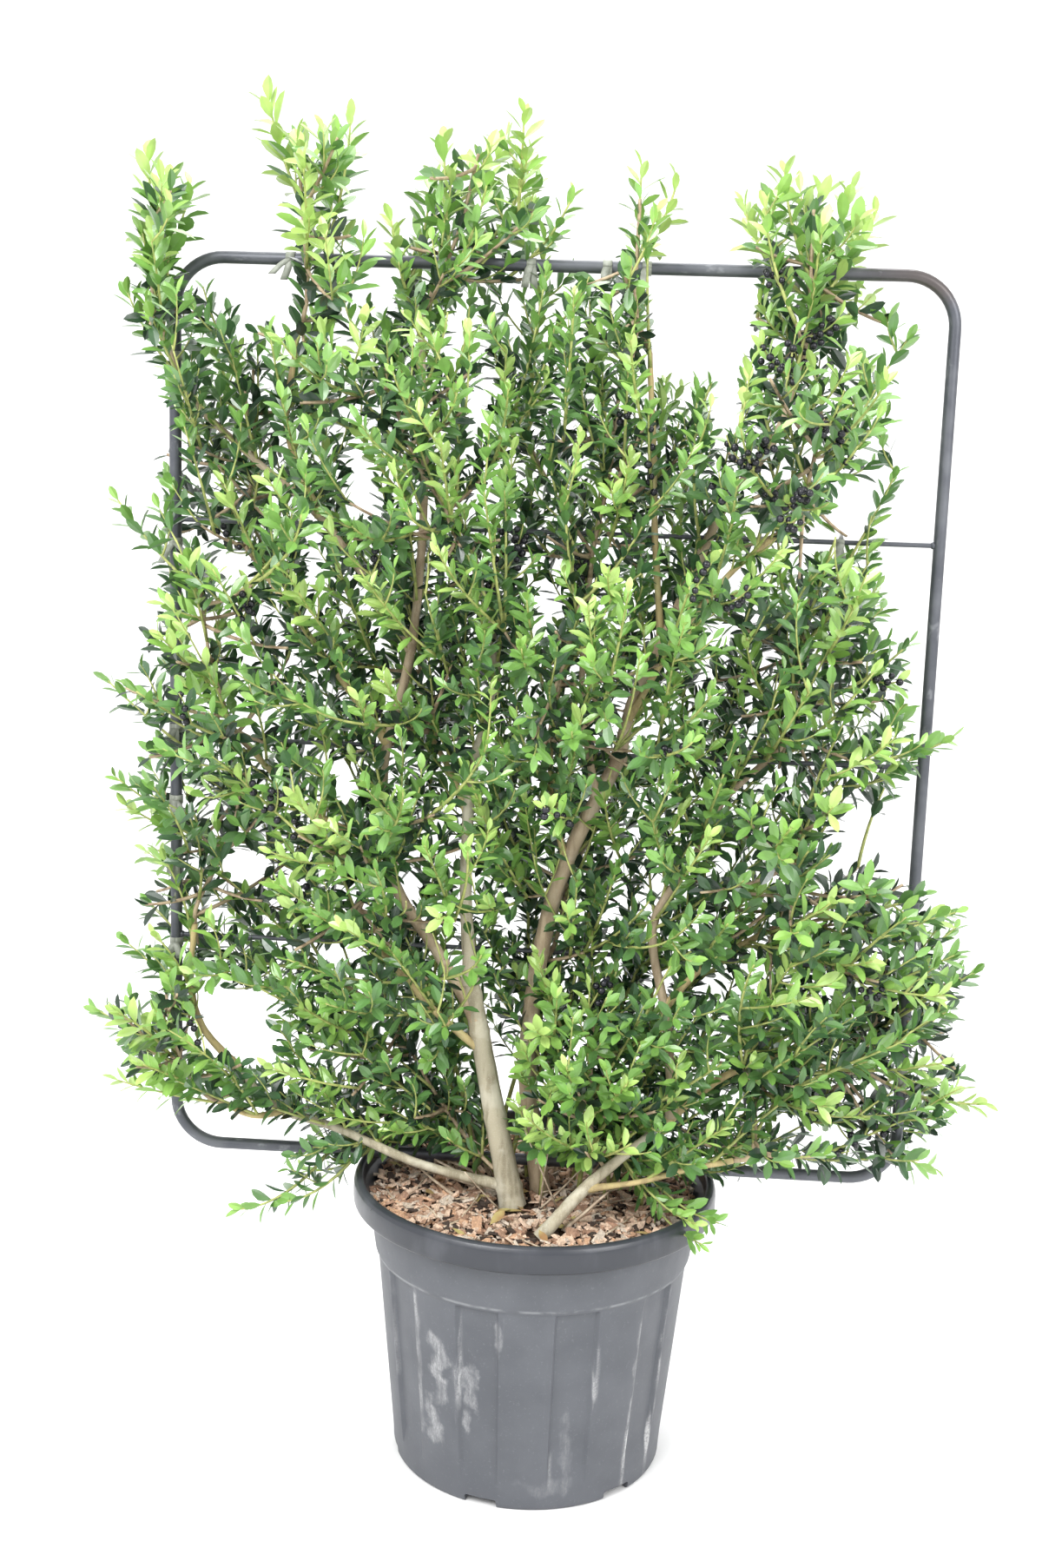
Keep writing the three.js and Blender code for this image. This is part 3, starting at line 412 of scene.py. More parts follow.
# Masses of leaves as in the solids: limb, height on it, middle of the space, half sizes, the
# furthest tips, and how many clusters of berries.
masses = {
    "leaves_top_far_left": ("bough_left_diagonal", None, (-482, -36, 1490), (64, 84, 142), [(-504, 0, 1628),
        (-521, -30, 1471), (-458, 20, 1602), (-478, -10, 1570), (-500, -40, 1540)], 0),
    "leaves_top_left": ("bough_left_high", None, (-312, -40, 1545), (98, 112, 158), [(-359, 0, 1698),
        (-264, 20, 1676), (-232, 30, 1560)], 0),
    "leaves_top_centre": ("bough_left_inner", None, (-112, 45, 1545), (124, 128, 155), [(-56, 0, 1692),
        (-152, 16, 1658), (-206, -30, 1560), (4, 20, 1602)], 0),
    "leaves_top_right_centre": ("bough_centre_high", None, (78, -40, 1505), (82, 105, 132), [(84, 0, 1632),
        (128, 30, 1626)], 0),
    "leaves_top_right": ("leader_rear", None, (288, 40, 1500), (120, 120, 138), [(250, 0, 1631),
        (330, 10, 1612), (407, -10, 1450), (206, 20, 1592), (360, 20, 1585)], 9),
    "leaves_left_upper": ("bough_left_shoulder", None, (-402, 45, 1278), (136, 130, 172), [(-544, 0, 1226),
        (-432, -20, 1480)], 1),
    "leaves_centre_left_upper": ("leader_front", None, (-190, -50, 1285), (150, 160, 165), [], 1),
    "leaves_centre_upper": ("bough_centre", None, (56, 50, 1280), (142, 160, 160), [], 6),
    "leaves_right_upper": ("bough_right_shoot", None, (290, -50, 1275), (142, 150, 155), [(403, 0, 1290)],
        11),
    "leaves_left_mid": ("bough_left_mid", None, (-412, -45, 1022), (150, 135, 160), [(-557, 0, 999),
        (-542, -20, 880)], 5),
    "leaves_centre_left_mid": ("bough_centre_left", None, (-184, 50, 1025), (150, 165, 165), [], 1),
    "leaves_centre_mid": ("bough_centre_mid", None, (58, -50, 1020), (150, 165, 165), [], 2),
    "leaves_right_mid": ("bough_right", None, (305, 50, 1025), (160, 155, 165), [(432, 0, 1085),
        (488, -10, 972)], 2),
    "leaves_left_low": ("bough_foot_left_rise", None, (-405, 45, 780), (146, 130, 165), [(-537, 0, 842),
        (-538, -10, 668)], 1),
    "leaves_centre_left_low": ("bough_left_low", None, (-190, -50, 770), (145, 160, 165), [], 0),
    "leaves_centre_low": ("trunk_rear", 650, (36, 55, 765), (130, 150, 160), [], 1),
    "leaves_right_low": ("bough_right_mid", None, (312, -45, 755), (190, 155, 175), [(512, 0, 752)], 1),
    "leaves_left_foot": ("bough_foot_left_side", None, (-452, -40, 520), (136, 118, 142), [(-577, 0, 570),
        (-545, -10, 478), (-372, -60, 332)], 1),
    "leaves_centre_left_foot": ("trunk_front", 384, (-225, 40, 495), (160, 135, 160), [(-318, -60, 345)], 0),
    "leaves_front_foot": ("trunk_right", 424, (80, -84, 515), (110, 95, 145), [], 0),
    "leaves_right_foot": ("bough_front_right", None, (258, -20, 490), (140, 135, 150), [(212, -152, 362),
        (203, -162, 392), (232, -138, 384)], 0),
    "leaves_far_right_foot": ("bough_right_low", None, (436, 45, 550), (142, 132, 172), [(567, 0, 505),
        (511, 10, 412), (540, -10, 679)], 1),
}

limbShape = {"flareLength": 22, "ring": 6, "collar": 0.55, "collarLength": 16, "lowestFoot": 349}


class Limb:
    def __init__(self, name):
        self.parent, height, self.radii, self.flare, way = limbs[name]
        places = [np.array(p, float) for p in way]
        if self.parent:
            path = grownLimbs[self.parent].path
            places.insert(0, path.at(path.shareAtHeight(height) if height else 1)[0])
        self.path = Path(places)

    def flaring(self, share):
        return self.flare * np.exp(-share * self.path.length / limbShape["flareLength"])

    def radius(self, share):
        share = np.asarray(share, float)
        foot, tip = self.radii
        grown = foot + (tip - foot) * share + self.flaring(share)
        if self.parent:
            collar = np.exp(-share * self.path.length / limbShape["collarLength"])
            grown = grown * (1 + limbShape["collar"] * collar)
        return grown


grownLimbs = {}
for name in limbs:
    grownLimbs[name] = Limb(name)


# Bark

bark = {
    "kinds": {  # base, dark and light colours, and the limbs; young is the bark of all the rest
        "pale": [(0.45, 0.405, 0.295), (0.26, 0.225, 0.15), (0.6, 0.57, 0.46),
                 ["trunk_front", "leader_front", "trunk_right", "bough_foot_left"]],
        "brown": [(0.47, 0.37, 0.25), (0.3, 0.22, 0.14), (0.58, 0.5, 0.37),
                  ["trunk_rear", "leader_rear", "bough_left_inner", "bough_right", "bough_centre",
                   "bough_left_diagonal"]],
        "young": [(0.5, 0.4, 0.19), (0.32, 0.24, 0.12), (0.56, 0.52, 0.25), []],
    },
    "relief": [(0.03, 1.6, "CLOUDS"), (0.0045, 0.5, "STUCCI")],  # grain in metres, height, texture
    # The skin stays inside the solids: slimmer where the wood shows so, with rings where shoots left.
    "flareShare": 0.2, "slim": {"trunk_right": 0.68, "bough_foot_left": 0.85},
    "rings": {"trunk_front": [373, 462, 571, 618], "trunk_rear": [420, 640], "bough_right": [590, 720]},
    "ringHeight": 0.13, "ringWidth": 4,
}


def barkMaterial(name, base, dark, light):
    graph = Graph(name)
    streaks = graph.noise(90, 4, (1, 1, 0.16)).ramp(0.42, 0.62)
    patches = graph.noise(28, 3).ramp(0.5, 0.66)
    lenticels = graph.cells(330, (1, 1, 2.6)).ramp(0.16, 0.3, (1, 0))
    colour = graph.mix(streaks * 0.75, base, dark)
    colour = graph.mix(patches * 0.6, colour, light)
    colour = graph.mix(lenticels * 0.45, colour, light)
    height = streaks * -0.5 + graph.noise(900, 2) * 0.4 + lenticels * 0.3
    return graph.finish(colour, 0.82 - patches * 0.12, Normal=graph.bump(height, 0.5, 0.0012))


def limbTube(name):
    limb = grownLimbs[name]
    shares = np.linspace(0, 1, max(8, int(limb.path.length / limbShape["ring"])))
    points = limb.path.at(shares)
    radii = limb.radius(shares) - (1 - bark["flareShare"]) * limb.flaring(shares)
    radii *= bark["slim"].get(name, 1)
    for height in bark["rings"].get(name, []):
        radii *= 1 + bark["ringHeight"] * np.exp(-((points[:, 2] - height) / bark["ringWidth"]) ** 2)
    if not limb.parent:
        points[0, 2] = min(points[0, 2], limbShape["lowestFoot"])
    return makeTube(name + "_wood", points, radii, 3)


def addBark():
    named = [name for kind in bark["kinds"].values() for name in kind[3]]
    bark["kinds"]["young"][3] = [name for name in limbs if name not in named]
    for kind, (base, dark, light, nodes) in bark["kinds"].items():
        thing = join(f"wood_{kind}", [limbTube(name) for name in nodes])
        for size, strength, texture in bark["relief"]:
            pattern = bpy.data.textures.new(f"{kind}{size}", texture)
            pattern.noise_scale = size
            modify(thing, "DISPLACE", texture=pattern, strength=strength * mm, mid_level=0.5)
        smooth(thing, 60)
        dress(thing, barkMaterial(f"bark_{kind}", base, dark, light), "bark", *nodes)
    print("stage: trunks and boughs")


addBark()


# The crown's shape from the front

crownShape = {
    # The outline from the front, on the upright plane through the pot's middle: sideways and height.
    "outline": [
        (-330, 400), (-372, 325), (-300, 330), (-215, 385), (200, 385), (230, 350), (345, 400), (515, 400),
        (560, 505), (530, 600), (545, 680), (520, 760), (440, 805), (400, 815), (330, 835), (385, 880),
        (440, 900), (490, 960), (440, 1060), (425, 1090), (395, 1200), (400, 1290), (405, 1460), (360, 1500),
        (360, 1590), (320, 1615), (250, 1630), (205, 1590), (180, 1400), (150, 1390), (100, 1400),
        (110, 1500), (130, 1625), (85, 1630), (55, 1520), (10, 1520), (5, 1600), (-56, 1690),
        (-175, 1650), (-205, 1530),
        (-240, 1560), (-264, 1675), (-359, 1697), (-330, 1560), (-300, 1450), (-370, 1440), (-430, 1480),
        (-470, 1470), (-455, 1605), (-505, 1628), (-525, 1450), (-500, 1360), (-475, 1300), (-535, 1235),
        (-480, 1130), (-515, 1090), (-555, 1000), (-530, 900), (-545, 850), (-520, 750), (-538, 655),
        (-500, 620), (-578, 575), (-545, 478), (-480, 455), (-330, 430),
    ],
    # Openings in the crown as seen from the front, on the same plane: left, right, low, high.
    "gaps": [
        (-440, -392, 1500, 1800), (-392, -328, 1450, 1500), (-232, -202, 1450, 1505),
        (-140, -122, 1408, 1465), (-65, -50, 1418, 1470), (14, 44, 1500, 1800), (104, 226, 1412, 1510),
        (130, 186, 1500, 1660), (180, 213, 1325, 1415), (240, 275, 1268, 1284), (288, 318, 1287, 1302),
        (335, 378, 1422, 1452), (298, 330, 1178, 1215), (328, 372, 1215, 1270), (193, 230, 1140, 1168),
        (-412, -370, 1128, 1158), (-455, -424, 1030, 1090), (-256, -230, 1205, 1260), (-270, -240, 855, 905),
        (-405, -358, 738, 785), (-185, -160, 730, 760), (-300, -230, 640, 666), (-440, -345, 508, 600),
        (-440, -400, 412, 436), (375, 445, 820, 862), (348, 370, 785, 812), (300, 332, 448, 472),
        (343, 395, 432, 458), (-18, -2, 1095, 1110), (128, 148, 755, 778),
    ],
    "edge": 16, "roundness": 4,  # how far shoots stay inside the outline, and how boxy a mass is
    # Wood that no leaves cover from the front: limb, from and to which height.
    "bareWood": [("trunk_front", 350, 632), ("leader_front", 630, 790), ("bough_left_inner", 590, 740),
                 ("bough_left_inner", 1010, 1230), ("trunk_rear", 730, 922), ("leader_rear", 920, 1000),
                 ("bough_right", 620, 760), ("bough_left_low", 545, 640), ("trunk_right", 344, 450)],
    "bareWidth": 15,
    # Ties that show between the leaves.
    "bareTies": [(-476, 22, 1394), (-476, 22, 1168), (-476, 22, 934), (-476, 22, 842), (-476, 22, 655),
                 (95, 22, 1512), (252, 22, 1196), (343, 22, 1196)],
    "tieWidth": 17,
    # The pot's rim, inside and outside, and how high leaves and twigs stay over the mulch and over the rim.
    "rimInside": 215, "rimOutside": 240, "overMulch": 366, "overRim": 380,
}

# What leaves and twigs keep clear of: the frame's bars, as ends and radius, and short lengths of the limbs.
frameCorners = [(-476, 22, 382), (-476, 22, 1512), (463, 22, 1512), (463, 22, 382)]
frameBars = [(start, end, 7.5) for start, end in zip(frameCorners, frameCorners[1:] + frameCorners[:1])]
frameBars += [((-476, 22, z), (463, 22, z), 3) for z in (664, 922, 1196)]


def solidPieces(longest=40):
    starts, ends, radii = (list(column) for column in zip(*frameBars))
    for limb in grownLimbs.values():
        shares = np.linspace(0, 1, max(4, int(limb.path.length / longest)))
        places = limb.path.at(shares)
        starts.extend(places[:-1])
        ends.extend(places[1:])
        radii.extend(limb.radius(shares)[:-1])
    return np.array(starts, float), np.array(ends, float), np.array(radii, float)


barStart, barEnd, barRadius = solidPieces()


def clearance(points):  # how far each point is from the nearest limb or frame bar
    along = barEnd - barStart
    offset = points[:, None] - barStart[None]
    share = np.clip((offset * along).sum(2) / (along ** 2).sum(1), 0, 1)
    nearest = np.linalg.norm(offset - share[..., None] * along, axis=2) - barRadius
    return nearest.min(1)


def seenOnPlane(points):  # where a point seems to be on the plane through the pot's middle
    eye = np.array(view["place"]) / mm
    seen = eye + (points - eye) * (eye[1] / (eye[1] - points[:, 1:2]))
    return seen[:, :1], seen[:, 2:]


def inGap(points):
    x, z = seenOnPlane(points)
    left, right, low, high = np.array(crownShape["gaps"], float).T
    return ((x > left) & (x < right) & (z > low) & (z < high)).any(1)


def hides(points, things, width):  # which points hide one of the things from the front
    hidden = np.zeros(len(points), bool)
    thingX, thingZ = seenOnPlane(things)
    for some in np.array_split(np.arange(len(points)), 1 + len(points) // 2000):
        x, z = seenOnPlane(points[some])
        near = np.hypot(x - thingX.T, z - thingZ.T) < width
        hidden[some] = (near & (points[some, 1:2] < things[:, 1])).any(1)
    return hidden


def bareLines():  # the bare wood as points along its middle
    lines = []
    for name, low, high in crownShape["bareWood"]:
        line = grownLimbs[name].path.points
        lines.append(line[(line[:, 2] >= low) & (line[:, 2] <= high)])
    return np.vstack(lines)


def inOutline(points):
    seenX, seenZ = seenOnPlane(points)
    corners = np.array(crownShape["outline"], float)
    along = np.roll(corners, -1, axis=0) - corners
    along[along[:, 1] == 0, 1] = 1e-6
    inside = np.ones(len(points), bool)
    for dx, dz in ((-1, 0), (1, 0), (0, -1), (0, 1)):
        x, z = seenX + dx * crownShape["edge"], seenZ + dz * crownShape["edge"]
        share = (z - corners[:, 1]) / along[:, 1]
        right = x < corners[:, 0] + share * along[:, 0]
        inside &= ((share >= 0) & (share < 1) & right).sum(1) % 2 == 1
    return inside


def clearOfPot(points):
    radius, height = np.hypot(points[:, 0], points[:, 1]), points[:, 2]
    overRim = (radius > crownShape["rimInside"]) & (height > crownShape["overRim"])
    overMulch = (radius <= crownShape["rimInside"]) & (height > crownShape["overMulch"])
    return (radius > crownShape["rimOutside"]) | overRim | overMulch


class Space:  # the rounded box of one mass, cut off by flat walls towards its neighbours
    def __init__(self, name):
        self.name = name
        self.limb, self.height, middle, half, self.tips, self.clusters = masses[name]
        self.middle, self.half = np.array(middle, float), np.array(half, float)
        ways, limits = [], []
        for other in masses:
            if other == name:
                continue
            middle, half = (np.array(row, float) for row in masses[other][2:4])
            way = middle - self.middle
            distance = np.linalg.norm(way)
            way /= distance
            own = np.linalg.norm(self.half * way)
            ways.append(way)
            limits.append(self.middle @ way + distance * own / (own + np.linalg.norm(half * way)))
        self.ways, self.limits = np.array(ways), np.array(limits)

    def inBox(self, points):
        offset = np.abs((points - self.middle) / self.half)
        return (offset ** crownShape["roundness"]).sum(1) < 1

    def holds(self, points):
        return self.inBox(points) & (points @ self.ways.T < self.limits).all(1)


spaces = {name: Space(name) for name in masses}


def crownHolds(points):
    return np.any([space.inBox(points) for space in spaces.values()], axis=0)


# Twigs, shoots and berries

growth = {
    "clearance": 4, "carrierStep": 12, "limbShare": 0.3,
    "stem": {"radii": (3.3, 2.2), "tries": 24, "leaving": 22, "sway": 0.25, "top": 0.6, "room": 12,
             "stray": (1, 1, 0.25), "clearFrom": 0.3, "rise": (0, 0, 0.5),
             # Two stems rise round the gap beside them.
             "bends": {"leaves_top_left": (-308, -20, 1450), "leaves_top_right_centre": (86, -25, 1450)}},
    "branch": {"radii": (2.8, 1.8), "perArea": 0.0005, "tries": 40, "step": 8, "furthest": 260,
               "shortest": 40, "reach": 0.72, "sag": 0.1, "samples": (0.4, 0.6, 0.8, 1),
               "from": (0.04, 0.9), "spread": (1, 0.9, 0.8), "rise": (0, 0, 0.2)},
    "cane": {"radii": (3.4, 2.0), "count": 60, "kept": 13, "feet": ((-100, -60), (150, 50)), "foot": 350,
             "rise": (230, 560), "stray": (0.4, 0.25), "clearance": 2},
    # Long leafy shoots come first, then short ones that fill the room between them.
    "shoots": [
        {"count": 600, "spacing": 38, "length": (130, 290), "radii": (2.5, 1.1)},
        {"count": 1500, "spacing": 20, "length": (45, 140), "radii": (1.6, 0.8)},
    ],
    "shootTries": 14, "carriersTried": 8, "depthWeight": 0.8, "flatDepth": 140, "lightReach": 75,
    "shootClearance": 2, "shootSamples": (0.3, 0.5, 0.7, 0.85, 1), "belowTip": 6, "carrierFrom": 0.15,
    # What a shoot costs for each millimetre: a turn from its upward way or from its carrier's way,
    # and what is missing from the shortest length or beyond the longest.
    "cost": {"turn": 1.6, "branching": 0.5, "short": 4, "long": 3},
    # How upright shoots grow: the heights from which and over which they straighten, and the outward pull.
    "lean": {"from": 380, "over": 1100, "middle": 20, "sideways": 500, "deep": 330, "pull": (1.3, 1.1),
             "up": (0.45, 0.75)},
    # Some masses are fuller or thinner than the rest.
    "fullness": {"leaves_top_left": 0.84, "leaves_top_right_centre": 0.9, "leaves_top_centre": 0.86,
                 "leaves_top_right": 0.88, "leaves_left_upper": 0.9, "leaves_left_mid": 0.86,
                 "leaves_left_low": 0.86},
    "berry": {"radius": 4.6, "reach": 7.5, "perCluster": (7, 15), "upTo": 1510, "forward": (0, -0.7, -0.2),
              "stray": (0.9, 1.5), "apart": 1.8, "compared": 24, "clearance": 5, "sizes": (0.82, 1.12),
              "colours": ((0.008, 0.008, 0.012), (0.03, 0.03, 0.045))},
}


def bentTwig(start, middle, end, count):
    t = np.linspace(0, 1, count)[:, None]
    start, end = np.asarray(start, float), np.asarray(end, float)
    return (1 - t) ** 2 * start + 2 * t * (1 - t) * middle + t ** 2 * end


def lean(points):  # the way shoots grow: straight up in the top, outwards low on the plant
    rule = growth["lean"]
    height = np.clip((points[:, 2] - rule["from"]) / rule["over"], 0, 1)
    (pull, lessPull), (up, moreUp) = rule["pull"], rule["up"]
    outward = (points[:, 0] - rule["middle"]) / rule["sideways"] * (pull - lessPull * height)
    return unit(np.stack([outward, points[:, 1] / rule["deep"], up + moreUp * height], 1))


class Crown:
    def __init__(self):
        self.random = np.random.default_rng(11)
        self.twigs = []  # points, radii, kind
        self.shoots = []  # points, liveliness of the spray or -1 for a branch, light that falls on it
        self.berries = []
        self.carriers = []  # lines that shoots may start from

    def keep(self, points, radii):  # a stem or branch, which carries shoots and leaves of its own
        self.carriers.append(points)
        self.twigs.append((points, radii, "old"))
        self.shoots.append((points, -1, 0))

    def growStem(self, space):
        random, rule = self.random, growth["stem"]
        limb = grownLimbs[space.limb]
        foot, away, leaving = limb.path.at(1)[0], limb.path.endWay(), rule["leaving"]
        if space.height:  # it leaves the side of the limb
            share = limb.path.shareAtHeight(space.height)
            foot = limb.path.at(share)[0]
            away = unit(unit((space.middle - foot) * (1, 1, 0)) + rule["rise"])
            leaving += limb.radius(share)
        following = foot + away * leaving
        most = -1e9
        for i in range(rule["tries"]):
            stray = (random.random(3) - 0.5) * space.half * (rule["sway"] + i / rule["tries"]) * rule["stray"]
            top = space.middle + stray
            top[2] = space.middle[2] + rule["top"] * space.half[2]
            between = (following + top) / 2 * 0.75 + space.middle * 0.25 + stray * 0.5
            path = Path([foot, following, rule["bends"].get(space.name, between), top])
            room = clearance(path.at(np.linspace(rule["clearFrom"], 1, 20))).min()
            if room > most:
                most, stem = room, path
            if room > rule["room"]:
                break
        self.keep(stem.at(np.linspace(0, 1, 13)), rule["radii"])
        self.growBranches(space, stem)

    def growBranches(self, space, stem):
        random, rule = self.random, growth["branch"]
        tries, step, (first, over) = rule["tries"], rule["step"], rule["from"]
        ends = [stem.at(1)[0]]
        for _ in range(round(rule["perArea"] * space.half[0] * space.half[2])):
            starts = stem.at(first + over * random.random(tries))
            ways = unit(random.normal(0, 1, (tries, 3)) * rule["spread"] + rule["rise"])
            reach = np.zeros(tries)
            for far in np.arange(step, rule["furthest"], step):
                going = reach >= far - step
                reach[going & space.holds(starts + ways * far)] = far
            reach *= rule["reach"]
            tips = starts + ways * reach[:, None]
            samples = np.vstack([starts + ways * (reach * share)[:, None] for share in rule["samples"]])
            free = clearance(samples).reshape(-1, tries).min(0) > growth["clearance"]
            free &= ~inGap(samples).reshape(-1, tries).any(0)
            free &= (reach > rule["shortest"]) & clearOfPot(tips) & inOutline(tips)
            room = np.linalg.norm(tips[:, None] - np.array(ends)[None], axis=2).min(1) * free
            k = int(room.argmax())
            if room[k] > 0:
                middle = (starts[k] + tips[k]) / 2 - (0, 0, rule["sag"] * reach[k])
                self.keep(bentTwig(starts[k], middle, tips[k], 9), rule["radii"])
                ends.append(tips[k])

    def growCanes(self):  # thin stems that rise from the root beside the trunks
        random, rule, kept = self.random, growth["cane"], 0
        for _ in range(rule["count"]):
            foot = np.array([*random.uniform(*rule["feet"]), rule["foot"]])
            rise = random.uniform(*rule["rise"])
            sideways = random.uniform(-1, 1, 2) * rule["stray"] * rise
            top = foot + (*sideways, rise)
            line = bentTwig(foot, (foot + top) / 2 - (*sideways * 0.3, 0), top, 14)
            if kept < rule["kept"] and clearance(line).min() > rule["clearance"] and crownHolds(line[-1:])[0]:
                kept += 1
                self.carriers.append(line[5:])
                self.twigs.append((line, rule["radii"], "young"))
                self.shoots.append((line[6:], 0.3, self.light(top)))

    def startSpots(self):  # places all along stems, branches and shoots, and how they run there
        spots, ways = [], []
        for line in self.carriers:
            lengths = lengthsAlong(line)
            at = np.arange(growth["carrierFrom"] * lengths[-1], lengths[-1] + 1, growth["carrierStep"])
            spots.append(readLine(line, lengths, at))
            ways.append(unit(readLine(np.gradient(line, axis=0), lengths, at)))
        self.spots, self.ways = np.vstack(spots), np.vstack(ways)

    def nextTarget(self, taken, spacing):  # of some places in the masses' boxes, the one with most room
        boxes = list(spaces.values())
        areas = np.array([box.half[0] * box.half[2] for box in boxes])
        picks = self.random.choice(len(boxes), growth["shootTries"], p=areas / areas.sum())
        middles, halves = (np.array([getattr(boxes[k], part) for k in picks]) for part in ("middle", "half"))
        tried = middles + halves * self.random.uniform(-1, 1, (len(picks), 3))
        fullness = np.array([growth["fullness"].get(boxes[k].name, 1) for k in picks])
        close = np.sqrt(np.minimum(halves[:, 1] / growth["flatDepth"], 1)) / fullness
        free = crownHolds(tried) & ~inGap(tried) & inOutline(tried) & clearOfPot(tried)
        free &= clearance(tried) > growth["clearance"]
        weight = np.array([1, growth["depthWeight"], 1])
        room = np.linalg.norm((tried[:, None] - taken) * weight, axis=2).min(1) * free / close
        return tried[room.argmax()] if room.max() >= spacing else None

    def growShoots(self):
        for name, limb in grownLimbs.items():
            if not name.startswith("trunk"):
                self.carriers.append(limb.path.at(np.linspace(growth["limbShare"], 1, 16)))
        below = (0, 0, growth["belowTip"])
        tips = [np.array(tip, float) - below for space in spaces.values() for tip in space.tips]
        taken = np.empty((0, 3))
        for kind in growth["shoots"]:
            self.startSpots()
            for _ in range(kind["count"] + len(tips)):
                target = tips.pop() if tips else self.nextTarget(taken, kind["spacing"])
                points = None if target is None else self.shootTo(target, kind["length"])
                if points is not None:
                    taken = np.vstack([taken, target])
                    self.carriers.append(points)
                    self.twigs.append((points, kind["radii"], "young"))
                    self.shoots.append((points, self.random.random(), self.light(target)))
            print(f"stage: {len(taken)} shoots")

    def shootTo(self, target, lengths):  # from the spot where it costs least in length and turns
        upward = lean(target[None])[0]
        offset = target - self.spots
        length = np.linalg.norm(offset, axis=1)
        way = offset / np.maximum(length, 1e-6)[:, None]
        (low, high), price = lengths, growth["cost"]
        turn, branching = 1 - way @ upward, 1 - (way * self.ways).sum(1)
        cost = length * (1 + price["turn"] * turn + price["branching"] * branching)
        cost += price["short"] * np.maximum(low - length, 0) + price["long"] * np.maximum(length - high, 0)
        shares = np.array(growth["shootSamples"])[:, None]
        for k in np.argsort(cost)[:growth["carriersTried"]]:
            middle = (self.spots[k] + target) / 4 + (target - upward * 0.5 * length[k]) / 2
            line = bentTwig(self.spots[k], middle, target, 9)
            samples = self.spots[k] + shares * offset[k]
            room = clearance(np.vstack([line[3:], samples])).min()
            if room > growth["shootClearance"] and not inGap(line[4:]).any():
                return line
        return None

    # How much of the sky a shoot's tip sees; its leaves get that much painted light.
    def light(self, target):  # the share of ways from a shoot's tip that leave the crown soon
        ways = np.array([(0, 0, 1), (-0.6, 0, 0.8), (0.6, 0, 0.8), (0, -1, 0.2), (-1, 0, 0), (1, 0, 0)])
        return 1 - crownHolds(target + ways * growth["lightReach"]).mean()

    def growBerries(self):  # clusters round the older parts of shoots, on the front half of each mass
        random, rule = self.random, growth["berry"]
        for space in spaces.values():
            inside = [points for points, luck, light in self.shoots
                      if luck >= 0 and space.holds(points[-1:])[0]]
            inside.sort(key=lambda points: points[2, 1])
            for _ in range(space.clusters if inside else 0):
                line = inside[random.integers((len(inside) + 3) // 4)]
                for _ in range(random.integers(*rule["perCluster"])):
                    reach = rule["reach"] * random.uniform(*rule["stray"])
                    start = line[random.integers(1, 7)]
                    berry = start + unit(random.normal(0, 1, 3) + rule["forward"]) * reach
                    others = self.berries[-rule["compared"]:]
                    far = min([np.linalg.norm(berry - other) for other in others] or [1e9])
                    clear = clearance(berry[None])[0] > rule["clearance"] and clearOfPot(berry[None])[0]
                    clear = clear and berry[2] < rule["upTo"] and not inGap(berry[None])[0]
                    if clear and far > rule["apart"] * rule["radius"]:
                        self.berries.append(berry)


crown = Crown()
for space in spaces.values():
    crown.growStem(space)
crown.growCanes()
crown.growShoots()
crown.growBerries()
print(f"stage: crown grown, {len(crown.twigs)} twigs and sprays, {len(crown.berries)} berries")


def tubes(lines):  # many tapering four-sided tubes as one set of points and faces
    points, faces, base = [], [], 0
    turn = np.arange(4) * math.pi / 2
    for line, (thick, thin) in lines:
        way = unit(np.gradient(line, axis=0))
        side = unit(np.cross(way, (0.31, 0.87, 0.13)))
        other = np.cross(way, side)
        radius = np.linspace(thick, thin, len(line))[:, None, None]
        ring = side[:, None] * np.cos(turn)[None, :, None] + other[:, None] * np.sin(turn)[None, :, None]
        points.append((line[:, None] + ring * radius).reshape(-1, 3))
        index = base + np.arange(4 * len(line)).reshape(-1, 4)
        follow = np.roll(index, -1, axis=1)
        faces.append(np.stack([index[:-1], follow[:-1], follow[1:], index[1:]], -1).reshape(-1, 4))
        faces.append(np.stack([index[-1], index[0][[0, 3, 2, 1]]]))
        base += 4 * len(line)
    return np.vstack(points), np.vstack(faces)


def twigMaterial(name, base, dark):
    graph = Graph(name)
    mask = graph.noise(120, 3).ramp(0.4, 0.65)
    return graph.finish(graph.mix(mask, base, dark), 0.6, Normal=graph.grain(700, 2, 0.3, 0.0005))


twigColours = {"old": ((0.46, 0.36, 0.23), (0.31, 0.22, 0.14)),
               "young": ((0.43, 0.46, 0.15), (0.28, 0.33, 0.1))}


def addTwigs():
    for kind, colours in twigColours.items():
        name = f"twigs_{kind}"
        thing = makeMesh(name, *tubes([twig[:2] for twig in crown.twigs if twig[2] == kind]))
        dress(thing, twigMaterial("bark_" + name, *colours), "bark")


addTwigs()


# Leaves

leafShape = {  # stations along the blade, and the half breadth there
    "along": [0, 0.12, 0.34, 0.6, 0.86, 1], "half": [0, 0.24, 0.78, 1, 0.62, 0],
    "breadth": 0.41, "breadthSpread": (0.88, 1.12), "fold": (0.16, 0.44), "curl": (-0.06, 0.2),
    "smoothness": 16,
}

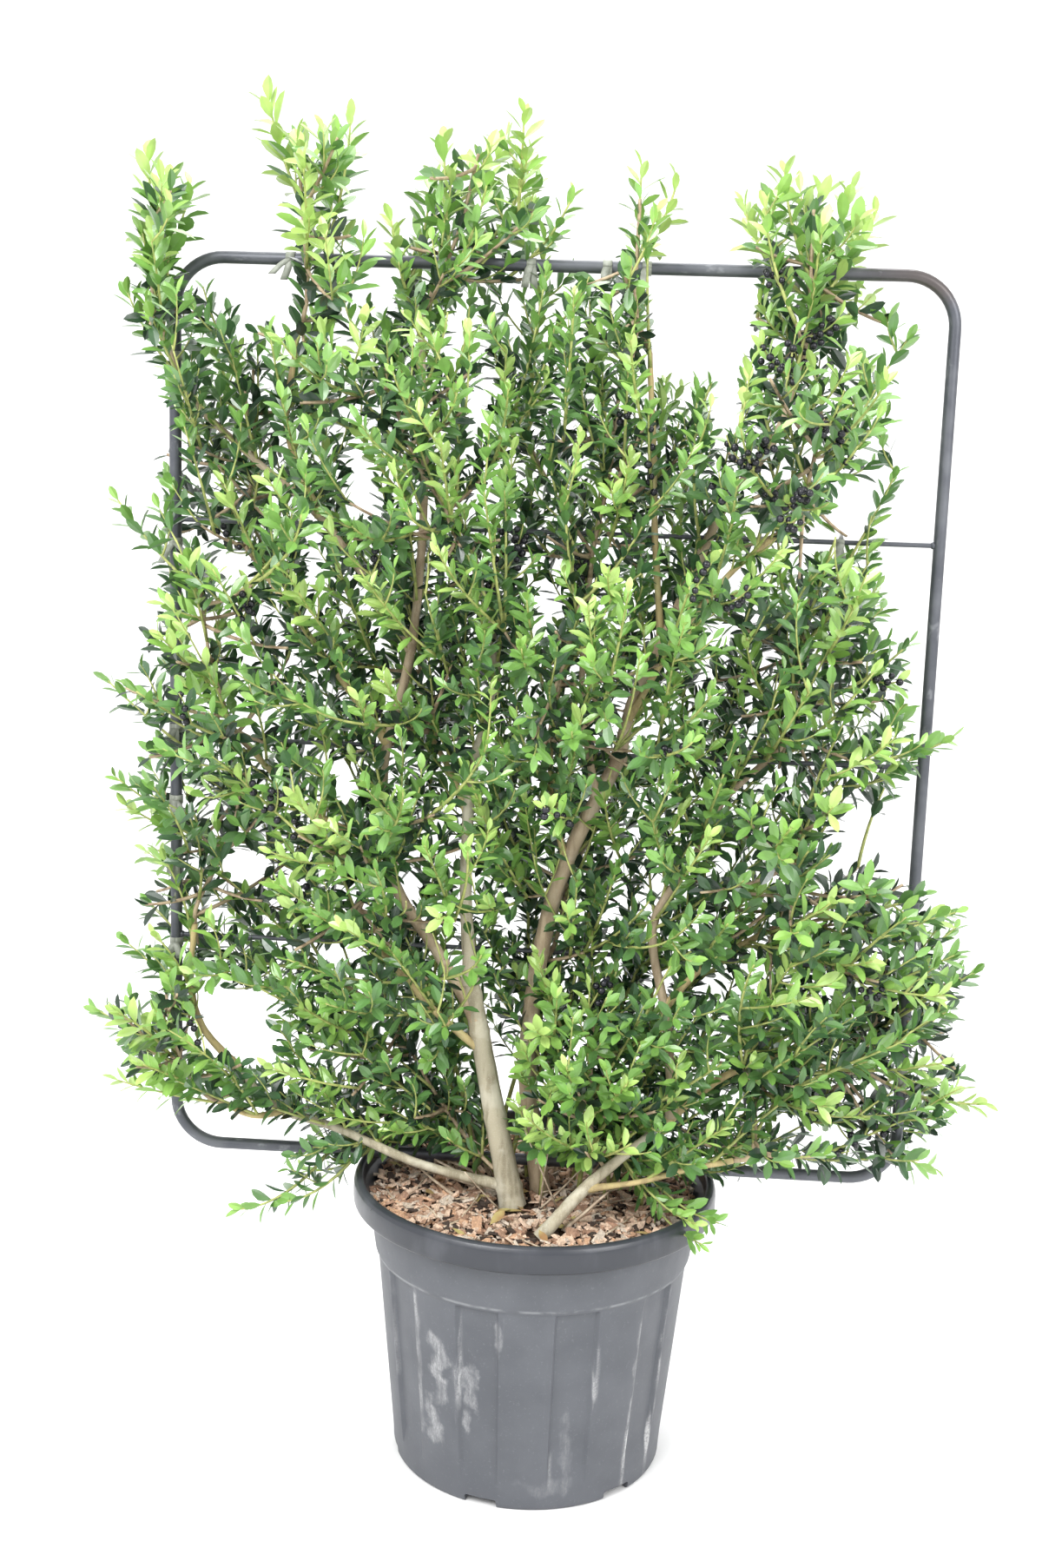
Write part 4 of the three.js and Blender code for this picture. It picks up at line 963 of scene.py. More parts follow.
leafRule = {
    # Where leaves start on a shoot and on branches, as a share of length, and above which height.
    "shootFrom": 0.1, "branchFrom": 0.45, "highBranchFrom": 0.25, "highBranches": 1350,
    # How far apart leaves are: on shoots, and how much wider on branches, in the top and at the sides.
    "every": 5.3, "stray": 0.8, "onBranches": 1.6, "inTop": 1.25, "top": 1500, "atSides": 1.32, "sides": 250,
    "goldenAngle": 2.39996, "turnStray": 0.25, "slant": (58, 36), "slantStray": 8, "faceStray": 0.14,
    "levelFace": (0, -0.25, 1),  # on a level shoot the leaves look up and a little forward
    # Length, and how it grows up the plant and to its sides, and falls towards a shoot's tip.
    "length": 30, "spread": (0.8, 1.14), "low": 0.93, "high": 0.24, "highFrom": 1380, "highOver": 260,
    "tip": 0.35, "tipFrom": 0.75, "side": 0.17, "sideFrom": 150, "sideOver": 200,
    # How bright a leaf is: painted light where it grows high, to the front and in the open, and its own
    # fresher colour at young tips. Some sprays are fresh all along.
    "freshShare": 0.24, "frontDepth": 160, "lowRight": (330, 900),
    "bright": {"high": 0.24, "front": 0.06, "light": 0.12, "luck": 0.1, "fresh": 0.24, "branch": -0.14,
               "tip": 0.12, "lightTip": 0.28, "freshTip": 0.1, "lowRight": -0.05, "stray": 0.04},
    # What leaves keep clear of: wood, berries, and the sight of berries, ties and bare wood.
    "clearance": 3, "tipClearance": 1.5, "offBerries": 3, "berryView": 9, "berryShown": 0.7,
    "woodShown": 0.85, "middle": 0.55,
}

# From the shade inside to the youngest tips: colour, and the share of all leaves.
leafColours = {
    "leaves_shade": ((0.014, 0.038, 0.018), 0.18),
    "leaves_dark": ((0.042, 0.106, 0.040), 0.24),
    "leaves_green": ((0.091, 0.206, 0.056), 0.23),
    "leaves_fresh": ((0.162, 0.332, 0.068), 0.17),
    "leaves_bright": ((0.256, 0.460, 0.096), 0.12),
    "leaves_lime": ((0.385, 0.555, 0.150), 0.06),
}


def leafTemplate():
    along, half = leafShape["along"], leafShape["half"]
    points = [(0, 0)]
    for y, x in zip(along[1:-1], half[1:-1]):
        points += [(-x, y), (0, y), (x, y)]
    points.append((0, 1))
    faces = [(0, 2, 1), (0, 3, 2)]
    for i in range(1, len(along) - 2):
        left = 3 * i - 2
        for a in (left, left + 1):
            faces += [(a, a + 1, a + 4), (a, a + 4, a + 3)]
    last = len(points) - 1
    faces += [(last - 3, last - 2, last), (last - 2, last - 1, last)]
    return np.array(points), np.array(faces)


def clipped(values, start, over):  # nothing up to the start, rising to one over that distance
    return np.clip((values - start) / over, 0, 1)


def leavesOf(points, luck, light, random):
    rule, bright = leafRule, leafRule["bright"]
    lengths = lengthsAlong(points)
    total, isBranch, fresh = lengths[-1], luck < 0, luck > 1 - rule["freshShare"]
    first, every = rule["shootFrom"], rule["every"]
    if isBranch:
        first = rule["highBranchFrom" if points[0, 2] > rule["highBranches"] else "branchFrom"]
        every *= rule["onBranches"]
    if points[-1, 2] > rule["top"]:
        every *= rule["inTop"]
    elif abs(points[-1, 0]) > rule["sides"]:
        every *= rule["atSides"]
    at = np.arange(first * total, total + 1, every)
    at = np.clip(at + random.normal(0, rule["stray"], len(at)), 0, total)
    share = at / total
    root = readLine(points, lengths, at)
    way = unit(readLine(np.gradient(points, axis=0), lengths, at))
    side = unit(np.cross(way, (0.2, 0.1, 1.0)))
    other = np.cross(way, side)
    turn = random.random() * 6.28 + np.arange(len(at)) * rule["goldenAngle"]
    turn = turn + random.normal(0, rule["turnStray"], len(at))
    radial = side * np.cos(turn)[:, None] + other * np.sin(turn)[:, None]
    slant = rule["slant"][0] - rule["slant"][1] * share ** 3 + random.normal(0, rule["slantStray"], len(at))
    slant = np.radians(slant)[:, None]
    blade = unit(way * np.cos(slant) + radial * np.sin(slant))
    level = 1 - np.abs(way[:, 2:])
    face = way * np.sin(slant) - radial * np.cos(slant) + level * rule["levelFace"]
    face = unit(face + random.normal(0, rule["faceStray"], (len(at), 3)))
    across = unit(np.cross(blade, face))
    high = clipped(root[:, 2], rule["highFrom"], rule["highOver"])
    length = rule["length"] * (rule["low"] + rule["high"] * high)
    length = length * (1 - rule["tip"] * clipped(share, rule["tipFrom"], 1 - rule["tipFrom"]))
    length = length * (1 + rule["side"] * clipped(np.abs(root[:, 0]), rule["sideFrom"], rule["sideOver"]))
    length = length * random.uniform(*rule["spread"], len(at))
    # The tone paints light: brighter high up, to the front and in the open. Fresh sprays, young tips and
    # branches add the leaves' own colour, and leaves low on the right are a little darker.
    front = np.clip(-root[:, 1] / rule["frontDepth"], -1, 1)
    lowRight = (root[:, 0] > rule["lowRight"][0]) & (root[:, 2] < rule["lowRight"][1])
    tone = bright["high"] * high + bright["front"] * front + bright["light"] * light
    tone = tone + bright["luck"] * max(luck, 0) + bright["fresh"] * fresh + bright["branch"] * isBranch
    tone = tone + (bright["tip"] + bright["lightTip"] * light + bright["freshTip"] * fresh) * share ** 3
    tone = tone + bright["lowRight"] * lowRight + random.normal(0, bright["stray"], len(at))
    return root, blade, across, np.cross(across, blade), length, tone


def freeLeaves(random, root, blade, length):  # which leaves clear the rest and leave it in sight
    middles = root + blade * (length * leafRule["middle"])[:, None]
    tips = root + blade * length[:, None]
    free = (clearance(middles) > leafRule["clearance"]) & (clearance(tips) > leafRule["tipClearance"])
    free &= clearOfPot(middles) & clearOfPot(tips)
    berries = np.array(crown.berries)
    for some in np.array_split(np.arange(len(middles)), 16):
        apart = np.linalg.norm(middles[some, None] - berries[None], axis=2)
        free[some] &= apart.min(1) > growth["berry"]["radius"] + leafRule["offBerries"]
    shown = random.random(len(tips)) < leafRule["berryShown"]
    free &= ~(hides(middles, berries, leafRule["berryView"]) & shown)
    free &= ~hides(middles, np.array(crownShape["bareTies"], float), crownShape["tieWidth"])
    shown = random.random(len(tips)) < leafRule["woodShown"]
    return free & ~(hides(middles, bareLines(), crownShape["bareWidth"]) & shown) & ~inGap(middles)


def leafMaterial(name, colour):
    graph = Graph(name)
    tone = graph.noise(34, 2).ramp(0.3, 0.7, (0.85, 1.15))
    shade = graph.node("VectorMath", {"operation": "SCALE"}, {0: colour, "Scale": tone})
    gloss = graph.noise(260, 2).ramp(0.3, 0.7, (0.3, 0.44))
    return graph.finish(shade, gloss, Coat_Weight=0.6, Coat_Roughness=0.22,
                        Normal=graph.grain(420, 2, 0.18, 0.0006))


def addLeaves():
    random = np.random.default_rng(5)
    rows = [leavesOf(*shoot, random) for shoot in crown.shoots]
    root, blade, across, face, length, tone = (np.concatenate(part) for part in zip(*rows))
    free = freeLeaves(random, root, blade, length)
    root, blade, across, face = root[free], blade[free], across[free], face[free]
    length, tone = length[free], tone[free]
    template, faces = leafTemplate()
    count, x, y = len(root), template[:, 0], template[:, 1]
    breadth = length * leafShape["breadth"] * random.uniform(*leafShape["breadthSpread"], count) / 2
    fold = random.uniform(*leafShape["fold"], count)
    curl = random.uniform(*leafShape["curl"], count)
    lift = np.abs(x) * (breadth * fold)[:, None] - (y ** 2) * (length * curl)[:, None]
    points = spread(root, (blade, y * length[:, None]), (across, x * breadth[:, None]), (face, lift))
    shares = [share for colour, share in leafColours.values()]
    group = np.searchsorted(np.quantile(tone, np.cumsum(shares)[:-1]), tone)
    print(f"stage: {count} leaves, {np.bincount(group, minlength=len(leafColours))} from shade to lime")
    for i, (name, (colour, share)) in enumerate(leafColours.items()):
        thing = makeCopies(name, points[group == i], faces)
        smooth(thing, leafShape["smoothness"])
        dress(thing, leafMaterial(name, colour), "foliage")
    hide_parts(*masses)


def addBerries():
    deselect()
    bpy.ops.mesh.primitive_ico_sphere_add(subdivisions=2, radius=growth["berry"]["radius"])
    model = bpy.context.object
    points = np.array([v.co for v in model.data.vertices])
    faces = np.array([list(p.vertices) for p in model.data.polygons])
    bpy.data.objects.remove(model)
    places = np.array(crown.berries)
    sizes = np.random.default_rng(8).uniform(*growth["berry"]["sizes"], len(places))
    thing = makeCopies("berries", places[:, None] + points[None] * sizes[:, None, None], faces)
    graph = Graph("berrySkin")
    bloom = graph.noise(160, 2).ramp(0.45, 0.7)
    colour = graph.mix(bloom * 0.5, *growth["berry"]["colours"])
    dress(thing, graph.finish(colour, 0.25 + bloom * 0.25), "foliage")


addLeaves()
addBerries()
print("stage: leaves and berries")


# Pot

pot = {
    "panels": 10, "panelTurn": -98.15,  # degrees round to the first raised panel's left edge
    "phases": [0, 3.9, 7.8, 11.7, 15.6, 19.5, 20.6, 24.2, 27.8, 31.3, 34.9],  # columns in one panel, degrees
    "rightEdge": 19.5, "recess": (20, 35.5), "recessHeights": (55, 272), "recessShare": 0.972,
    "recessRadius": 160,  # only walls further out than this are pushed in
    # Radius and height along the outside from the foot up, then over the rim and down inside.
    "profile": [(136, 0), (138, 11), (163, 11), (165, 0.2), (170.5, 0), (173.6, 1.2), (175, 4.5), (175.4, 10),
                (176, 22), (177, 34), (179.4, 58), (186.6, 130), (193.8, 205), (199, 258), (200.4, 270.5),
                (201.2, 273.5), (203, 276.6), (204.6, 279.8), (206.2, 290), (208.8, 312), (210.8, 330),
                (211.6, 338), (212.4, 339.2), (228, 339.8), (231.8, 340.2), (233.6, 342), (234, 346),
                (234, 360), (233.4, 366.5), (231, 371.2), (227.5, 373.8), (224, 373.6), (221.6, 371),
                (221, 366),
                (219.5, 358), (209, 345), (205, 330), (0, 330)],
    "notches": 6, "notchTurn": -105.5, "notchWidth": 42, "notchHeight": 11, "notchDepth": 50, "notchAt": 176,
    "notchBevel": 3, "edgeBevel": 0.8,
    # Chalky scuffs: degrees round, height, half width in degrees, half height, strength.
    "scuffs": [(-123, 184, 5, 34, 1), (-122, 150, 3, 26, 0.6), (-109.5, 156, 3.6, 34, 0.8),
               (-127, 98, 4.5, 32, 1), (-112, 108, 1.8, 16, 0.7), (-98.8, 238, 1.5, 22, 0.6),
               (-133, 180, 1.3, 95, 0.5), (-42.6, 168, 1.4, 96, 0.7), (-71, 85, 2.4, 44, 0.3),
               (-78, 34, 8, 12, 0.25), (60, 150, 6, 40, 0.7), (118, 90, 5, 45, 0.7),
               (175, 190, 4, 50, 0.8), (8, 60, 8, 24, 0.7)],
    # The seam's dark line is painted shadow under the rim's overhang, along the mould's parting line.
    "seamShadow": 0.3409, "ridge": 0.2785,  # metres up
    "colour": (0.074, 0.079, 0.091), "chalkColour": (0.115, 0.121, 0.136), "dustColour": (0.3, 0.31, 0.32),
    "seamShadowColour": (0.006, 0.0065, 0.008), "scuffColour": (0.56, 0.56, 0.56),
    # The rim's own colour, and a lighter bluish one for its dust and painted sheen.
    "rimColours": ((0.03, 0.033, 0.041), (0.1, 0.105, 0.12)),
}


def addPot():
    profile, phases = pot["profile"], pot["phases"]
    radius, height = profile[0]
    count, middle = pot["panels"] * len(phases), (0, 0, 0)
    deselect()
    bpy.ops.mesh.primitive_circle_add(vertices=count, radius=radius * mm, location=(0, 0, height * mm))
    thing = bpy.context.object
    place(thing)
    mode("EDIT")
    bpy.ops.mesh.select_mode(type="VERT")
    for j, phase in enumerate(phases):  # even columns are turned to the panels' edges
        bpy.ops.mesh.select_all(action="DESELECT")
        mode("OBJECT")
        for i, vertex in enumerate(thing.data.vertices):
            vertex.select = i % len(phases) == j
        mode("EDIT")
        turn = math.radians(pot["panelTurn"] - 90 + phase - j * 360 / count)
        bpy.ops.transform.rotate(value=-turn, orient_axis="Z", center_override=middle)
    bpy.ops.mesh.select_mode(type="EDGE")
    bpy.ops.mesh.select_all(action="SELECT")
    bpy.ops.mesh.extrude_edges_move()
    bpy.ops.mesh.merge(type="CENTER")
    bpy.ops.mesh.select_all(action="DESELECT")
    mode("OBJECT")
    far = [v.co.xy.length > radius * mm / 2 for v in thing.data.vertices]
    for edge in thing.data.edges:
        edge.select = all(far[v] for v in edge.vertices)
    mode("EDIT")
    for newRadius, newHeight in profile[1:]:
        bpy.ops.mesh.extrude_edges_move()
        if newRadius:
            scale = newRadius / radius
            bpy.ops.transform.resize(value=(scale, scale, 1), center_override=middle)
            bpy.ops.transform.translate(value=(0, 0, (newHeight - height) * mm))
        else:
            bpy.ops.mesh.merge(type="CENTER")
        radius, height = newRadius, newHeight
    bpy.ops.mesh.select_all(action="SELECT")
    bpy.ops.mesh.normals_make_consistent(inside=False)
    bpy.ops.mesh.select_all(action="DESELECT")
    bpy.ops.mesh.select_mode(type="VERT")
    mode("OBJECT")
    low, high = (h * mm for h in pot["recessHeights"])
    for vertex in thing.data.vertices:
        turn = math.degrees(math.atan2(vertex.co.y, vertex.co.x)) - pot["panelTurn"]
        inRecess = pot["recess"][0] < turn % (360 / pot["panels"]) < pot["recess"][1]
        outside = vertex.co.xy.length > pot["recessRadius"] * mm
        vertex.select = low < vertex.co.z < high and inRecess and outside
    mode("EDIT")
    bpy.ops.transform.resize(value=(pot["recessShare"], pot["recessShare"], 1), center_override=middle)
    mode("OBJECT")
    modify(thing, "BEVEL", width=pot["edgeBevel"] * mm, segments=2, limit_method="ANGLE", angle_limit=0.22)
    cutter = notchCutter()
    modify(thing, "BOOLEAN", object=cutter, operation="DIFFERENCE", solver="EXACT")
    bpy.data.objects.remove(cutter)
    smooth(thing, 35)
    thing.name = "pot_shell"
    dress(thing, potMaterial(), "plastic", "pot")
    print("stage: pot")


def notchCutter():
    cutters = []
    for i in range(pot["notches"]):
        turn = math.radians(pot["notchTurn"] + 360 / pot["notches"] * i)
        deselect()
        bpy.ops.mesh.primitive_cube_add(size=1)
        cutter = bpy.context.object
        cutter.scale = np.array([pot["notchDepth"], pot["notchWidth"], 2 * pot["notchHeight"]]) * mm
        cutter.location = np.array([math.cos(turn), math.sin(turn), 0]) * pot["notchAt"] * mm
        cutter.rotation_euler = (0, 0, turn)
        place(cutter)
        modify(cutter, "BEVEL", width=pot["notchBevel"] * mm, segments=3, limit_method="NONE")
        cutters.append(cutter)
    return join("notchCutter", cutters)


def potMaterial():
    graph = Graph("potPlastic")
    x, y, z = graph.places()
    turn = graph.node("Math", {"operation": "ARCTAN2"}, {0: y, 1: x}) * (180 / math.pi)
    panel = 360 / pot["panels"]
    phase = ((turn - pot["panelTurn"]) / panel).math("FRACT")
    leftEdge = (phase - 1).math("ABSOLUTE").math("MINIMUM", phase)
    rightEdge = (phase - pot["rightEdge"] / panel).math("ABSOLUTE")
    edge = leftEdge.math("MINIMUM", rightEdge).ramp(0.008, 0.075, (1, 0))
    body = z.ramp(0.338, 0.3405, (1, 0))  # below the rim
    wall = z.ramp(0.262, 0.27, (1, 0))  # below the shoulder
    streak = graph.noise(60, 4, (1, 1, 0.1)).ramp(0.52, 0.68)
    patch = graph.noise(9, 3, (1, 1, 0.6)).ramp(0.44, 0.62)
    worn = edge * streak * patch * wall * (graph.noise(420, 4).ramp(0.3, 0.62) * 0.6 + 0.4)
    crumbs = graph.noise(620, 5, (1, 1, 0.35), 0.75).ramp(0.34, 0.68)
    scratches = graph.noise(150, 5, (1, 1, 0.16), 0.7).ramp(0.32, 0.66)
    rubbed = worn * 0
    sideways, upwards = ((graph.noise(scale, 4) - 0.5) * 3.4 for scale in (38, 31))
    for degrees, height, halfTurn, halfHeight, strength in pot["scuffs"]:
        across = (turn - degrees) / halfTurn + sideways
        up = (z - height * mm) / (halfHeight * mm) + upwards
        rubbed = rubbed + (across * across + up * up).ramp(0.0, 1.6, (strength, 0))
    rubbed = rubbed.math("MINIMUM", 1) * (crumbs * 0.5 + 0.35) * (scratches * 0.75 + 0.25) * body
    # A thin dark line of painted shadow under the rim's overhang, along the parting line.
    seamShadow = z.near(pot["seamShadow"], 0.0004, 0.0019) * graph.noise(50, 3).ramp(0.36, 0.5)
    ridge = z.near(pot["ridge"], 0.0008, 0.003) * graph.noise(40, 3).ramp(0.4, 0.65)
    chalk = graph.noise(14, 4).ramp(0.3, 0.75) * body
    dust = graph.noise(300, 3).ramp(0.6, 0.72) * body
    # Lighter bluish patches on the rim: dust, and painted sheen.
    rimDustAndSheen = graph.noise(24, 4, (1, 1, 0.5)).ramp(0.42, 0.75)
    colour = graph.mix(body, graph.mix(rimDustAndSheen * 0.4, *pot["rimColours"]), pot["colour"])
    colour = graph.mix(chalk * 0.5, colour, pot["chalkColour"])
    colour = graph.mix(ridge * 0.5 + dust * 0.12, colour, pot["dustColour"])
    colour = graph.mix(seamShadow * 0.9, colour, pot["seamShadowColour"])
    colour = graph.mix((worn * 0.8 + rubbed * 0.75).math("MINIMUM", 1), colour, pot["scuffColour"])
    rough = body * 0.2 + worn * 0.2 + rubbed * 0.2 + graph.noise(40, 3) * 0.12 + 0.24
    height = graph.noise(500, 2) * 0.4 + rubbed * 0.3 + graph.noise(30, 3) * 0.6
    return graph.finish(colour, rough, Normal=graph.bump(height, 0.18, 0.001))


addPot()


# Bark mulch

mulch = {
    "radius": 214, "top": 349, "bed": 345, "bedCuts": 6,
    "bedColours": ((0.028, 0.018, 0.012), (0.12, 0.07, 0.04)),
    "chips": 4200, "chipLength": (6, 28), "chipBreadth": (0.25, 0.8), "chipThickness": (0.8, 2.2),
    "tilt": 0.36,
    "colours": {"chips_tan": (0.74, 0.54, 0.4), "chips_brown": (0.4, 0.24, 0.16),
                "chips_orange": (0.62, 0.38, 0.24), "chips_grey": (0.64, 0.54, 0.44),
                "chips_dark": (0.06, 0.04, 0.03)},
    "shares": [0.36, 0.2, 0.14, 0.16, 0.14],
    # Sticks that lie on the mulch and dry stems that stand in it: how many, how far out, how long.
    "lying": {"count": 50, "within": 190, "length": (25, 95), "way": (1, 1, 0.12)},
    "standing": {"count": 34, "within": 110, "length": (50, 150), "way": (0.6, 0.6, 0)},
    "stickRadii": (1.6, 0.8), "furthest": 205, "clearance": 3,
    # Dry stems round the trunks: foot and top.
    "dryTwigs": [
        ((-45, 14, 350), (-169, 24, 392)),
        ((-67, -6, 350), (-132, 4, 382)),
        ((-96, -41, 350), (-148, -31, 385)),
        ((-58, 24, 350), (-104, 34, 459)),
        ((-16, 54, 350), (-8, 64, 426)),
        ((25, 54, 350), (29, 64, 419)),
        ((-55, -16, 350), (-165, -6, 378)),
        ((44, -118, 350), (96, -108, 398)),
        ((-35, 81, 350), (-73, 91, 430)),
    ],
    "dryTwigRadii": (3, 1.7), "dryColours": ((0.56, 0.46, 0.34), (0.34, 0.26, 0.18)),
    "leaves": 40, "leavesWithin": 195, "leafLength": (20, 34), "leafBreadth": 0.2, "leafFold": 0.06,
    "leafColours": ((0.3, 0.17, 0.07), (0.42, 0.36, 0.14)),
}


def turnedAxes(random, count, tilt):
    spin = random.random(count) * 2 * math.pi
    along = unit(np.stack([np.cos(spin), np.sin(spin), random.normal(0, tilt, count)], 1))
    up = unit(np.stack([random.normal(0, tilt, count), random.normal(0, tilt, count), np.ones(count)], 1))
    across = unit(np.cross(up, along))
    return along, across, np.cross(along, across)


def onMulch(random, count, radius):  # places spread evenly over the mulch
    out, spin = np.sqrt(random.random(count)) * radius, random.random(count) * 2 * math.pi
    return out, out * np.cos(spin), out * np.sin(spin)


def addMulchBed():
    deselect()
    bpy.ops.mesh.primitive_circle_add(vertices=64, radius=mulch["radius"] * mm, fill_type="TRIFAN",
                                      location=(0, 0, mulch["bed"] * mm))
    bed = bpy.context.object
    place(bed)
    mode("EDIT")
    bpy.ops.mesh.select_all(action="SELECT")
    bpy.ops.mesh.subdivide(number_cuts=mulch["bedCuts"])
    mode("OBJECT")
    clouds = bpy.data.textures.new("soilRough", "CLOUDS")
    clouds.noise_scale = 0.02
    modify(bed, "DISPLACE", texture=clouds, strength=0.012, mid_level=0.6)
    smooth(bed, 60)
    bed.name = "mulch_bed"
    graph = Graph("mulchBed")
    grain = graph.noise(220, 4).ramp(0.35, 0.65)
    soil = graph.mix(grain, *mulch["bedColours"])
    dress(bed, graph.finish(soil, 0.95, Normal=graph.bump(grain, 0.8, 0.003)), "mulch", "mulch")


def addChips(random):
    corners = np.array([(-1, -1, -1), (1, -0.7, -1), (1.1, 0.8, -1), (-0.9, 1, -1),
                        (-0.9, -0.8, 1), (0.9, -0.6, 1), (0.95, 0.6, 1), (-1, 0.8, 1)], float)
    sides = np.array([(0, 3, 2, 1), (4, 5, 6, 7), (0, 1, 5, 4), (1, 2, 6, 5), (2, 3, 7, 6), (3, 0, 4, 7)])
    count = mulch["chips"]
    out, x, y = onMulch(random, count, mulch["radius"] - 4)
    height = mulch["top"] + random.uniform(-4, 6, count) - 4 * (out / mulch["radius"]) ** 4
    centre = np.stack([x, y, height], 1)
    axes = turnedAxes(random, count, mulch["tilt"])
    length = random.uniform(*mulch["chipLength"], count) / 2 * random.uniform(0.5, 1, count)
    sizes = (length, length * random.uniform(*mulch["chipBreadth"], count),
             random.uniform(*mulch["chipThickness"], count))
    jitter = corners[None] * random.uniform(0.7, 1.15, (count, 8, 3))
    points = spread(centre, *((axes[k], jitter[..., k] * sizes[k][:, None]) for k in range(3)))
    kept = np.hypot(points[..., 0], points[..., 1]).max(1) < mulch["radius"] + 2
    kept &= clearance(centre) > mulch["clearance"]
    group = random.choice(len(mulch["colours"]), count, p=mulch["shares"])
    for i, (name, colour) in enumerate(mulch["colours"].items()):
        thing = makeCopies(name, points[kept & (group == i)], sides)
        take(thing)
        bpy.ops.object.shade_flat()
        graph = Graph(name)
        fibre = graph.noise(420, 4, (1, 0.35, 1)).ramp(0.35, 0.65)
        darker = tuple(c * 0.55 for c in colour)
        dress(thing, graph.finish(graph.mix(fibre * 0.7, colour, darker), 0.9,
                                  Normal=graph.bump(fibre, 0.5, 0.001)), "mulch")


def addSticks(random):
    sticks = []
    for kind, lift in (("lying", 0), ("standing", 1)):
        rule = mulch[kind]
        for _ in range(rule["count"]):
            r, a = math.sqrt(random.random()) * rule["within"], random.random() * 6.28
            start = np.array([r * math.cos(a), r * math.sin(a), mulch["top"] + 3 + 6 * random.random()])
            way = unit(random.normal(0, 1, 3) * rule["way"] + (0, 0, lift))
            end = start + way * random.uniform(*rule["length"])
            checks = np.array([start, (start + end) / 2, end])
            if math.hypot(*end[:2]) <= mulch["furthest"] and clearance(checks).min() >= mulch["clearance"]:
                middle = (start + end) / 2 + random.normal(0, 5, 3) * (1, 1, 0.3)
                sticks.append((bentTwig(start, middle, end, 6), mulch["stickRadii"]))
    for foot, top in np.array(mulch["dryTwigs"], float):
        middle = (foot + top) / 2 + random.normal(0, 4, 3)
        sticks.append((bentTwig(foot, middle, top, 8), mulch["dryTwigRadii"]))
    thing = makeMesh("fallen_sticks", *tubes(sticks))
    dress(thing, twigMaterial("drySticks", *mulch["dryColours"]), "mulch")


def addFallenLeaves(random):
    template, faces = leafTemplate()
    count, x, y = mulch["leaves"], template[:, 0], template[:, 1]
    out, rootX, rootY = onMulch(random, count, mulch["leavesWithin"])
    root = np.stack([rootX, rootY, mulch["top"] + random.uniform(5, 9, count)], 1)
    along, across, up = turnedAxes(random, count, 0.3)
    length = random.uniform(*mulch["leafLength"], count)[:, None]
    breadth, fold = length * mulch["leafBreadth"], length * mulch["leafFold"]
    points = spread(root, (along, y * length), (across, x * breadth), (up, np.abs(x) * fold))
    thing = makeCopies("fallen_leaves", points, faces)
    graph = Graph("dryLeaf")
    tone = graph.noise(25, 2).ramp(0.35, 0.65)
    dress(thing, graph.finish(graph.mix(tone, *mulch["leafColours"]), 0.7,
                              Normal=graph.grain(300, 2, 0.3, 0.0008)), "foliage")


addMulchBed()
chance = np.random.default_rng(21)
addChips(chance)
addSticks(chance)
addFallenLeaves(chance)
print("stage: mulch")


# Steel frame

steel = {
    "y": 22, "left": -476, "right": 463, "top": 1512, "bottom": 381.8,
    "bend": 60, "bendSteps": 12, "tube": 7.5,
    "rods": [664, 922, 1196], "rod": 3, "rodEnd": 5, "bead": 4.6, "beadIn": 7,
    "legs": [-140, 150], "leg": 6, "legFoot": 215,
    "colours": ((0.075, 0.080, 0.095), (0.135, 0.142, 0.158)), "rustColour": (0.085, 0.06, 0.045),
    "scratchColour": (0.32, 0.33, 0.35),
}


def steelMaterial():
    graph = Graph("frameSteel")
    x, y, z = graph.places()
    tone = graph.noise(14, 4).ramp(0.35, 0.7)
    scratch = graph.noise(150, 3, (0.25, 1, 0.25)).ramp(0.6, 0.72)
    tint = x.ramp(0.30, 0.43) * z.ramp(1.47, 1.5)  # the upper right corner is browner
    colour = graph.mix(tone, *steel["colours"])
    colour = graph.mix(tint * 0.55, colour, steel["rustColour"])
    colour = graph.mix(scratch * 0.4, colour, steel["scratchColour"])
    return graph.finish(colour, 0.36 + tone * 0.2, Metallic=0.35,
                        Normal=graph.grain(300, 3, 0.2, 0.0006))


def roundBar(name, points, radius, closed=False):
    return makeTube(name, points, [radius] * len(points), 6, closed)


def addFrame():
    y, left, right, top, bottom, bend = (steel[k] for k in ("y", "left", "right", "top", "bottom", "bend"))
    corners = [(right - bend, top - bend, 0), (left + bend, top - bend, 90),
               (left + bend, bottom + bend, 180), (right - bend, bottom + bend, 270)]
    loop = []
    for x, z, start in corners:
        for step in range(steel["bendSteps"] + 1):
            turn = math.radians(start + 90 * step / steel["bendSteps"])
            loop.append((x + bend * math.cos(turn), y, z + bend * math.sin(turn)))
    pieces = [roundBar("loop", loop, steel["tube"], closed=True)]
    for z in steel["rods"]:
        ends = (left + steel["rodEnd"], right - steel["rodEnd"])
        pieces.append(roundBar("rod", [(ends[0], y, z), (0, y, z), (ends[1], y, z)], steel["rod"]))
        for x in (left + steel["beadIn"], right - steel["beadIn"]):
            deselect()
            bpy.ops.mesh.primitive_uv_sphere_add(segments=12, ring_count=8, radius=steel["bead"] * mm,
                                                 location=(x * mm, y * mm, z * mm))
            pieces.append(bpy.context.object)
    for x in steel["legs"]:
        pieces.append(roundBar("leg", [(x, y, steel["legFoot"]), (x, y, bottom)], steel["leg"]))
    thing = join("steel_frame", pieces)
    smooth(thing, 40)
    nodes = [name for name in frame["nodes"] if name.startswith("frame_")]
    dress(thing, steelMaterial(), "steel", *nodes)
    print("stage: steel frame")


# Ties of tape round the frame's bars

